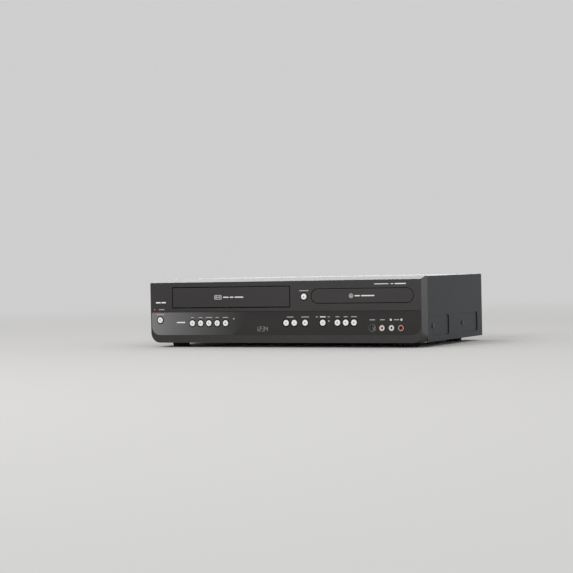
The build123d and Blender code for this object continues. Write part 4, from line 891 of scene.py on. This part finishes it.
@dataclass
class Keys(Trim):
    """The round keys: a ring of painted shade round each hole, for the shade in the gap, and a pictogram
    on each cap.
    """

    glyph_size: float = 2.5
    # inner and outer radius of the ring of painted shade, and how far it stands proud of the face
    gap_shade_radii: Pair = (4.66, 5.85)
    gap_shade_proud: float = 0.12

    def build(self) -> None:
        """Add the pictograms and the rings of painted shade round the keys."""
        gap_shade_rings = []
        for key, (glyph, _) in KEYS.items():
            name = f"button_{key}"
            x, z = middle_mm(name)
            mark = glyph_shape(glyph, self.glyph_size, front_mm(name)).moved(x, 0, z)
            self.piece(f"{name}_mark", [mark], KEY_INK, "button_white", name)
            # a flat near-black ring just proud of the window's face: painted shade for the key's gap
            gap_shade_rings.append(ring((x, z), self.gap_shade_radii, self.face - self.gap_shade_proud, self.face + SINK))
        self.piece("key_gap_painted_shade", gap_shade_rings, KEY_GAP_PAINTED_SHADE, "bezel_plastic")


@dataclass
class Legends(Trim):
    """Plain bars where such a player carries its labels, printed on the window and the bezel."""

    height: float = 1.15
    corner: float = 0.3  # of a bar, in shares of its height
    over_key: float = 8.3  # bar over a key's middle
    over_jack: float = 11.4  # bar over a jack's middle
    # start in x, width, height and z of the plain dashes that stand alone
    plain_dashes: tuple[tuple[float, float, float, float], ...] = (
        (-206.5, 8.0, 1.9, 65.8),
        (-197.0, 7.5, 1.9, 65.8),
        (-171.5, 14.0, 1.7, 36.5),
        (145.5, 21.5, 1.0, 89.0),
        (170.0, 4.5, 1.0, 89.0),
        (176.5, 16.5, 1.5, 89.0),
    )
    lamp_bar: Triple = (-197.0, 55.5, 9.5)  # x, z and width of the timer lamp's bar
    channel_width: float = 10.5
    dubbing_sides: Pair = (9.2, 3.6)  # distance from the key's middle, and width, of its grey bars
    dubbing_bar: Pair = (8.8, 1.5)  # width and height of its white bar
    sound_width: float = 8.0
    square: float = 2.6  # white squares over the two sound jacks
    square_shifts: Pair = (-1.6, 0.2)  # from the left and from the right jack
    JACK_WIDTHS = {"svideo_socket": 8.6, "video_jack": 7.2}  # of the bars over these two

    def bar(self, x: float, z: float, width: float, height: float | None = None) -> Shape:
        """One printed bar with round ends."""
        tall = height or self.height
        return printed(rounded_outline(width, tall, tall * self.corner, x, z), self.face)

    def grey_bars(self) -> list[Shape]:
        """Draw the bars of the keys, of the timer lamp and of the jacks.

        Returns:
            One shape for each bar.
        """
        places = [(*middle_mm(f"button_{key}"), width) for key, (_, width) in KEYS.items() if width]
        down, up = middle_mm("button_channel_down"), middle_mm("button_channel_up")
        places.append(((down[0] + up[0]) / 2, down[1], self.channel_width))
        x, z = middle_mm("button_dubbing")
        away, width = self.dubbing_sides
        places += [(x + side * away, z, width) for side in (-1, 1)]
        bars = [self.bar(x, z + self.over_key, width) for x, z, width in places]
        x, z, width = self.lamp_bar
        bars.append(self.bar(x, z, width))
        jack_z = middle_mm("video_jack")[1] + self.over_jack
        jacks = [(middle_mm(name)[0], width) for name, width in self.JACK_WIDTHS.items()]
        left, right = middle_mm("audio_left_jack")[0], middle_mm("audio_right_jack")[0]
        jacks.append(((left + right) / 2, self.sound_width))
        return bars + [self.bar(x, jack_z, width) for x, width in jacks]

    def white_marks(self) -> list[Shape]:
        """Draw the dubbing key's middle bar, the sound jacks' squares and the dashes.

        Returns:
            One shape for each mark.
        """
        x, z = middle_mm("button_dubbing")
        width, tall = self.dubbing_bar
        marks = [self.bar(x, z + self.over_key, width, tall)]
        jack_z = middle_mm("video_jack")[1] + self.over_jack
        for node, shift in zip(("audio_left_jack", "audio_right_jack"), self.square_shifts):
            x = middle_mm(node)[0] + shift
            marks.append(printed(box_outline(self.square, self.square, x, jack_z), self.face))
        for start, width, tall, z in self.plain_dashes:
            marks.append(self.bar(start + width / 2, z, width, tall))
        return marks

    def build(self) -> None:
        """Add the grey bars and the white marks."""
        self.piece("label_bars", self.grey_bars(), GREY_INK, "window_acrylic")
        self.piece("white_label_marks", self.white_marks(), WHITE_INK, "window_acrylic")


@dataclass
class Clock(Trim):
    """Seven-segment digits of the clock: plain numbers."""

    text: str = "12:34"
    spots: tuple[float, ...] = (-1.55, -0.55, 0.0, 0.55, 1.55)  # of the five signs, in pitches
    pitch: float = 5.0
    digit: Pair = (2.9, 6.4)  # width and height between the middles of the strokes
    stroke: float = 0.6
    gap: float = 0.55  # between a segment and its digit's corner, in strokes
    slant: float = 0.12  # how far x moves for each millimetre of height
    centre: Pair = (-31.5, 26.8)
    dot: float = 0.5
    dot_rise: float = 1.5
    proud: float = 0.03
    SEGMENTS = {"1": "bc", "2": "abged", "3": "abgcd", "4": "fgbc"}
    # where each segment starts and ends, in shares of half the digit's width and height
    ENDS = {
        "a": ((-1, 1), (1, 1)),
        "b": ((1, 1), (1, 0)),
        "c": ((1, 0), (1, -1)),
        "d": ((-1, -1), (1, -1)),
        "e": ((-1, 0), (-1, -1)),
        "f": ((-1, 1), (-1, 0)),
        "g": ((-1, 0), (1, 0)),
    }

    def segment(self, which: str, x: float, z: float) -> np.ndarray:
        """Outline one segment: a slanted bar with a point at each end.

        Args:
            which: the segment's letter, from a at the top, round by the right, to g in the middle.
            x: x of the digit's middle.
            z: z of the digit's middle.

        Returns:
            Its six corners.
        """
        start, end = np.array(self.ENDS[which]) * self.digit / 2
        along = (end - start) / np.linalg.norm(end - start)
        aside = np.array([-along[1], along[0]]) * self.stroke / 2
        gap, tip = along * self.stroke * self.gap, along * self.stroke / 2
        start, end = start + gap, end - gap
        corners = np.array(
            [start - tip, start - aside, end - aside, end + tip, end + aside, start + aside]
        )
        corners[:, 0] += corners[:, 1] * self.slant
        return corners + (x, z)

    def build(self) -> None:
        """Add the digits and the colon on the window's face."""
        outlines = []
        z = self.centre[1]
        for mark, spot in zip(self.text, self.spots):
            x = self.centre[0] + spot * self.pitch
            if mark == ":":
                rises = (-self.dot_rise, self.dot_rise)
                outlines += [box_outline(self.dot, self.dot, x + up * self.slant, z + up) for up in rises]
            else:
                outlines += [self.segment(letter, x, z) for letter in self.SEGMENTS[mark]]
        shapes = [plate(outline, self.face - self.proud, self.face + SINK) for outline in outlines]
        self.piece("clock_digits", shapes, DIGIT_GLOW, "display_glass")


@dataclass
class FrontMarks(Trim):
    """Plain pictograms in place of the wording: a cassette on the door and a disc on the tray."""

    line: float = 0.55
    case: Triple = (11.0, 5.6, 0.8)  # width, height and corner of the cassette
    reel: Pair = (1.25, 2.7)  # a reel's radius, and its distance from the middle
    reel_bar: float = 2.2
    disc_radii: Pair = (2.8, 1.2)
    dash: Triple = (1.6, 0.5, 2.0)  # height, corner and gap
    # where the picture and the first dash lie from the middle, and the dashes' widths
    door_row: tuple[float, float, tuple[float, ...]] = (-20.0, -11.5, (9.0, 6.0, 14.0))
    tray_row: tuple[float, float, tuple[float, ...]] = (-16.0, -10.5, (8.0, 20.0))

    def cassette(self, x: float, z: float, face: float) -> list[Shape]:
        """Draw a cassette: a rounded frame, two reels and the bar between them.

        Args:
            x: x of its middle.
            z: z of its middle.
            face: y of what it is printed on.

        Returns:
            One shape for each line.
        """
        radius, away = self.reel
        lines = [rounded_outline(*self.case, x, z)]
        lines += [circle(radius, 24, x + side * away, z) for side in (-1, 1)]
        shapes = [printed_line(path, self.line, face) for path in lines]
        return shapes + [printed(box_outline(self.reel_bar, self.line, x, z), face)]

    def disc(self, x: float, z: float, face: float) -> list[Shape]:
        """A disc: its rim and its clamping ring."""
        return [printed_line(circle(r, 40, x, z), self.line, face) for r in self.disc_radii]

    def dashes(self, x: float, z: float, widths: tuple[float, ...], face: float) -> list[Shape]:
        """Draw a row of plain dashes.

        Args:
            x: x of its left end.
            z: z of its middle.
            widths: the width of each dash.
            face: y of what it is printed on.

        Returns:
            One shape for each dash.
        """
        shapes = []
        height, corner, gap = self.dash
        for width in widths:
            shapes.append(printed(rounded_outline(width, height, corner, x + width / 2, z), face))
            x += width + gap
        return shapes

    def build(self) -> None:
        """Add the door's and the tray's marks; each rides on its own body."""
        rows = (
            ("door_mark", "cassette_door", "cassette_door", self.cassette, self.door_row),
            ("tray_mark", "tray_front", "disc_tray", self.disc, self.tray_row),
        )
        for name, node, body, picture, (shift, start, widths) in rows:
            x, z = middle_mm(node)
            face = front_mm(node)
            shapes = picture(x + shift, z, face) + self.dashes(x + start, z, widths, face)
            self.piece(name, shapes, WHITE_INK, "bezel_plastic", body)


@dataclass
class SocketRings(Trim):
    """Coloured insulator faces inside the phono barrels, front and rear."""

    radii: Pair = (1.62, 3.38)
    proud: float = 0.24
    sink: float = 0.05
    # two sets of picture and sound, then three component jacks and a digital one
    rear_rows: tuple[tuple[str, ...], ...] = (
        ("yellow", "white", "red", "green", "red"),
        ("yellow", "white", "red", "blue", "orange"),
    )
    FRONTS = {"video_jack": "cream", "audio_left_jack": "white", "audio_right_jack": "red"}

    def build(self) -> None:
        """Add a ring for each front jack, and for the rear ones a group of each colour."""
        for node, word in self.FRONTS.items():
            face = front_mm(node)
            shape = ring(middle_mm(node), self.radii, face - self.proud, face + self.sink)
            self.piece(f"{node}_ring", [shape], CORES[word], "red_insulator")
        groups: dict[str, list[Shape]] = {}
        for word, (x, z, face) in zip(sum(self.rear_rows, ()), rear_jacks()):
            shape = ring((x, z), self.radii, face + self.proud, face - self.sink)
            groups.setdefault(word, []).append(shape)
        for word, shapes in groups.items():
            self.piece(f"rear_{CORES[word].name}s", shapes, CORES[word], "red_insulator")


@dataclass
class RoundSocket(Trim):
    """The round data socket: a painted highlight ring, a shield, and a core with four contacts and a key.
    """

    # the ring of painted highlight on the socket's front edge
    rim: Triple = (5.25, 5.85, 0.1)  # inner radius, outer radius and depth
    shield: Triple = (4.2, 4.55, 0.9)  # inner radius, outer radius and how far it stands back
    bore_depth: float = 7.0
    core: Pair = (3.9, 2.6)  # radius and height over the bore's floor
    contact: Pair = (0.35, 0.65)
    contact_reach: Pair = (0.05, 0.3)  # over and under the core's top
    contacts: tuple[Pair, ...] = ((-1.9, 0.5), (1.9, 0.5), (-1.1, -1.7), (1.1, -1.7))
    key: tuple[float, ...] = (1.8, 0.9, 2.3, 1.4)  # width, height, rise over the middle and length

    def build(self) -> None:
        """Add the painted highlight ring on the housing's front edge, and the shield and the core in its
        bore.
        """
        centre = middle_mm("svideo_socket")
        x, z = centre
        face = front_mm("svideo_socket")
        floor = face + self.bore_depth + SINK
        top = face + self.bore_depth - self.core[1]
        # a pale ring on the socket's front edge: painted highlight
        rim = ring(centre, self.rim[:2], face, face + self.rim[2])
        self.piece("svideo_edge_painted_highlight", [rim], SOCKET_EDGE_PAINTED_HIGHLIGHT, "black_plastic")
        metal = [ring(centre, self.shield[:2], face + self.shield[2], floor)]
        over, under = self.contact_reach
        places = [(x + dx, z + dz) for dx, dz in self.contacts]
        metal += [ring(place, self.contact, top - over, top + under) for place in places]
        self.piece("svideo_shield", metal, FINISHES["nickel"], "nickel")
        width, height, rise, length = self.key
        core = [plate(circle(self.core[0], 48, x, z), top, floor)]
        core.append(plate(box_outline(width, height, x, z + rise), top - length, top + SINK))
        self.piece("svideo_core", core, FINISHES["dark_insulator"], "dark_insulator")


@dataclass
class PlugTongue(Trim):
    """The black tongue and back wall inside the flat digital socket."""

    depth: float = 10.0
    wall: float = 0.62
    floor_thickness: float = 0.4
    tongue: Triple = (10.6, 1.5, 8.6)  # width, height and reach over the socket's floor
    rise: float = 0.3
    root: float = 0.3  # how far over the floor the tongue starts, inside the back wall

    def build(self) -> None:
        """Add the tongue and the wall that it stands on."""
        low, high = box_mm("hdmi_socket")
        x, z = middle_mm("hdmi_socket")
        floor = float(high[1]) - self.depth
        inner = (high[0] - low[0] - 2 * self.wall, high[2] - low[2] - 2 * self.wall)
        width, height, reach = self.tongue
        tongue = box_outline(width, height, x, z + self.rise)
        parts = [plate(box_outline(*inner, x, z), floor + self.floor_thickness, floor - SINK)]
        parts.append(plate(tongue, floor + reach, floor + self.root))
        self.piece("flat_socket_tongue", parts, FINISHES["black_plastic"], "black_plastic")


@dataclass
class RearMarks(Trim):
    """Plain printed bars by the rear sockets, and a line over each group of them."""

    bar: Triple = (7.0, 1.1, 0.35)  # width, height and corner
    wide: float = 1.4  # how much wider the bars over single sockets are
    away: float = 8.0  # from a jack's middle
    line: float = 0.5
    line_rise: float = 3.0  # over the upper bars
    tick: float = 1.7
    groups: tuple[tuple[int, int], ...] = ((0, 2), (3, 4))
    SINGLE = {"hdmi_socket": 5.4, "cord_gland": 11.0}  # rise of the bar over the node's middle

    def build(self) -> None:
        """Add the bars and the group lines on the rear panel."""
        face = float(box_mm("rear_panel")[1][1])
        columns = sorted({round(x, 2) for x, _, _ in rear_jacks()})
        rows = sorted({round(z, 2) for _, z, _ in rear_jacks()})
        width, height, corner = self.bar
        levels = (rows[-1] + self.away, rows[0] - self.away)
        marks = [rounded_outline(*self.bar, x, z) for x in columns for z in levels]
        for node, rise in self.SINGLE.items():
            x, z = middle_mm(node)
            marks.append(rounded_outline(width * self.wide, height, corner, x, z + rise))
        line_z = levels[0] + self.line_rise
        for first, last in self.groups:
            start, end = columns[first] - width / 2, columns[last] + width / 2
            marks.append(box_outline(end - start, self.line, (start + end) / 2, line_z))
            marks += [box_outline(self.line, self.tick, x, line_z - self.tick / 2) for x in (start, end)]
        shapes = [printed(outline, face, side=1) for outline in marks]
        self.piece("rear_label_bars", shapes, PANEL_INK, "zinc_steel")


@dataclass
class Lamps(Trim):
    """The small lenses on the ends of the light pipes."""

    radius: float = 1.15
    proud: float = 0.35
    LENSES = {
        "timer_lamp": (RED_LENS, (-208.8, 55.5)),
        "cassette_lamp": (PALE_LENS, (-76.6, 41.6)),
        "disc_lamp": (PALE_LENS, (74.9, 37.6)),
    }

    def build(self) -> None:
        """Add one red and two frosted lenses."""
        for name, (finish, place) in self.LENSES.items():
            lens = dome(place, self.radius, self.face - self.proud, self.face + SINK)
            self.piece(name, [lens], finish, "light_pipe")


# ---------------- studio
def light_only(lamp: bpy.types.Object, node: str) -> None:
    """Let a card or a lamp light one CAD node alone.

    Args:
        lamp: the card or the lamp.
        node: the CAD node.
    """
    receivers = bpy.data.collections.new(f"{lamp.name}_receivers")
    receivers.objects.link(frame["nodes"][node])
    lamp.light_linking.receiver_collection = receivers


@dataclass(frozen=True)
class Softbox:
    """A rectangular softbox that faces the player; its place and size are in metres."""

    name: str
    place: Triple
    size: Pair
    level: float  # brightness of its face, where 1 is white
    aim: Triple = (0.0, 0.0, 0.05)

    def build(self) -> bpy.types.Object:
        """Make the lamp.

        Returns:
            An area lamp whose power gives its face the stated brightness.
        """
        data = bpy.data.lights.new(self.name, "AREA")
        data.shape = "RECTANGLE"
        data.size, data.size_y = self.size
        data.energy = self.level * math.pi * self.size[0] * self.size[1]
        made = placed(self.name, data)
        made.location = self.place
        towards = Vector(self.aim) - Vector(self.place)
        made.rotation_mode = "QUATERNION"
        made.rotation_quaternion = towards.to_track_quat("-Z", "Y")
        return made


@dataclass(frozen=True)
class WindowCard:
    """A lit card in front on the left, which only the window mirrors. Its sizes are in metres.

    It stands upright where the camera sees it in the window, and its right edge slants. Its light
    falls from the left end to the right, by the cube of an even slope.
    """

    left: float = -0.46
    right: Pair = (-0.2335, -0.177)  # at its foot and at its top
    top: float = 0.062
    y: float = -0.4
    levels: Pair = (5.2, 0.68)  # its light where the fall starts and ends
    fall: Pair = (-0.4, -0.2)  # x of these two places

    def finish(self) -> bpy.types.Material:
        """Make the card's light.

        Returns:
            A material that only gives light.
        """
        made = bpy.data.materials.new("card_light")
        tree = emptied(made)
        point = add(tree, "ShaderNodeTexCoord").outputs["Object"]
        x = add(tree, "ShaderNodeSeparateXYZ", {"Vector": point}).outputs["X"]
        start, end = (level ** (1 / 3) for level in self.levels)
        level = maths(tree, "POWER", spread(tree, x, self.fall, (start, end)), 3.0)
        light = add(tree, "ShaderNodeEmission", {"Color": WHITE, "Strength": level})
        add(tree, "ShaderNodeOutputMaterial", {"Surface": light.outputs["Emission"]})
        return made

    def build(self) -> None:
        """Stand the card up, hidden from the camera."""
        foot, head = self.right
        corners = [(self.left, 0.0), (foot, 0.0), (head, self.top), (self.left, self.top)]
        card = staged("window_card", [(x, self.y, z) for x, z in corners], self.finish())
        card.visible_camera = False
        card.visible_diffuse = False
        card.visible_shadow = False
        light_only(card, "control_window")


@dataclass
class Studio:
    """The camera at the photograph's angle, a pale floor, and plain soft light."""

    azimuth: float = 26.45
    elevation: float = 0.76
    roll: float = -1.2
    place: Triple = (1114.0, -2340.5, 120.0)
    focal_pixels: float = 1743.0
    image_pixels: float = 573.0
    sensor: float = 36.0
    clip: Pair = (0.1, 60.0)  # m
    floor_colour: str = "#e9e8e6"
    floor_radius: float = 14.0  # m
    floor_corners: int = 96
    backdrop: float = 0.62  # light of the backdrop, where 1 is white

    def camera(self) -> None:
        """Place the camera from its azimuth, elevation and roll.

        Its back axis points from the object to the camera; right and up are square to it and are
        turned by the roll.
        """
        azimuth, elevation, roll = (math.radians(a) for a in (self.azimuth, self.elevation, self.roll))
        level = math.cos(elevation)
        back = np.array([math.sin(azimuth) * level, -math.cos(azimuth) * level, math.sin(elevation)])
        right = np.cross(-back, (0, 0, 1))
        right /= np.linalg.norm(right)
        up = np.cross(right, -back)
        c, s = math.cos(roll), math.sin(roll)
        right, up = c * right + s * up, c * up - s * right
        data = bpy.data.cameras.new("camera")
        data.sensor_width = self.sensor
        data.lens = self.focal_pixels / self.image_pixels * self.sensor
        data.clip_start, data.clip_end = self.clip
        made = placed("camera", data)
        turn = Matrix(np.stack([right, up, back], 1).tolist()).to_4x4()
        made.matrix_world = Matrix.Translation(Vector(self.place) * MM) @ turn
        bpy.context.scene.camera = made

    def floor(self) -> None:
        """A wide pale disc that the player stands on, which turns into the backdrop far away."""
        count = self.floor_corners
        angle = np.arange(count) * 2 * math.pi / count
        points = np.stack([np.cos(angle), np.sin(angle), np.zeros(count)], 1) * self.floor_radius
        paper = PaperSweep(
            "paper_sweep", self.floor_colour, 0.9, shift=0.0, relief=0.0, level=self.backdrop
        )
        staged("floor", points.tolist(), paper.material())

    def surroundings(self) -> None:
        """An even pale backdrop, which also fills the shadows."""
        world = bpy.data.worlds.new("studio")
        bpy.context.scene.world = world
        tree = emptied(world)
        sky = add(tree, "ShaderNodeBackground", {"Color": WHITE, "Strength": self.backdrop})
        add(tree, "ShaderNodeOutputWorld", {"Surface": sky.outputs["Background"]})

    def build(self) -> None:
        """Set up the camera, the floor, the lamps and the surroundings."""
        self.camera()
        self.floor()
        self.surroundings()
        WindowCard().build()
        Softbox("key_softbox", (-0.7, -2.8, 1.7), (1.7, 1.5), 4.2).build()
        rim = Softbox("rim_softbox", (-1.05, 1.9, 1.15), (2.8, 1.5), 3.4).build()
        rim.visible_diffuse = False
        side = Softbox("side_softbox", (1.5, 2.6, 0.5), (1.4, 1.2), 1.5).build()
        light_only(side, "front_bezel")
        bpy.context.scene.view_settings.view_transform = "Standard"


def dress_nodes() -> None:
    """Give each CAD node the finish of its slot in the record."""
    for row in frame["record"]["subparts"]:
        made = frame["nodes"][row["node"]]
        material = FINISHES[row["material_slot"]].material()
        if not made.material_slots:
            made.data.materials.append(material)
        for slot in made.material_slots:
            slot.material = material


def main() -> None:
    """Dress the nodes, add the small pieces and set up the studio."""
    logging.basicConfig(level=logging.INFO, format="%(name)s: %(message)s")
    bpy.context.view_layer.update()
    dress_nodes()
    face = front_mm("control_window")
    groups = (Keys, Legends, Clock, FrontMarks, SocketRings, RoundSocket, PlugTongue, RearMarks, Lamps)
    for group in groups:
        group(face).build()
    Studio().build()


if __name__ == "__main__":
    main()
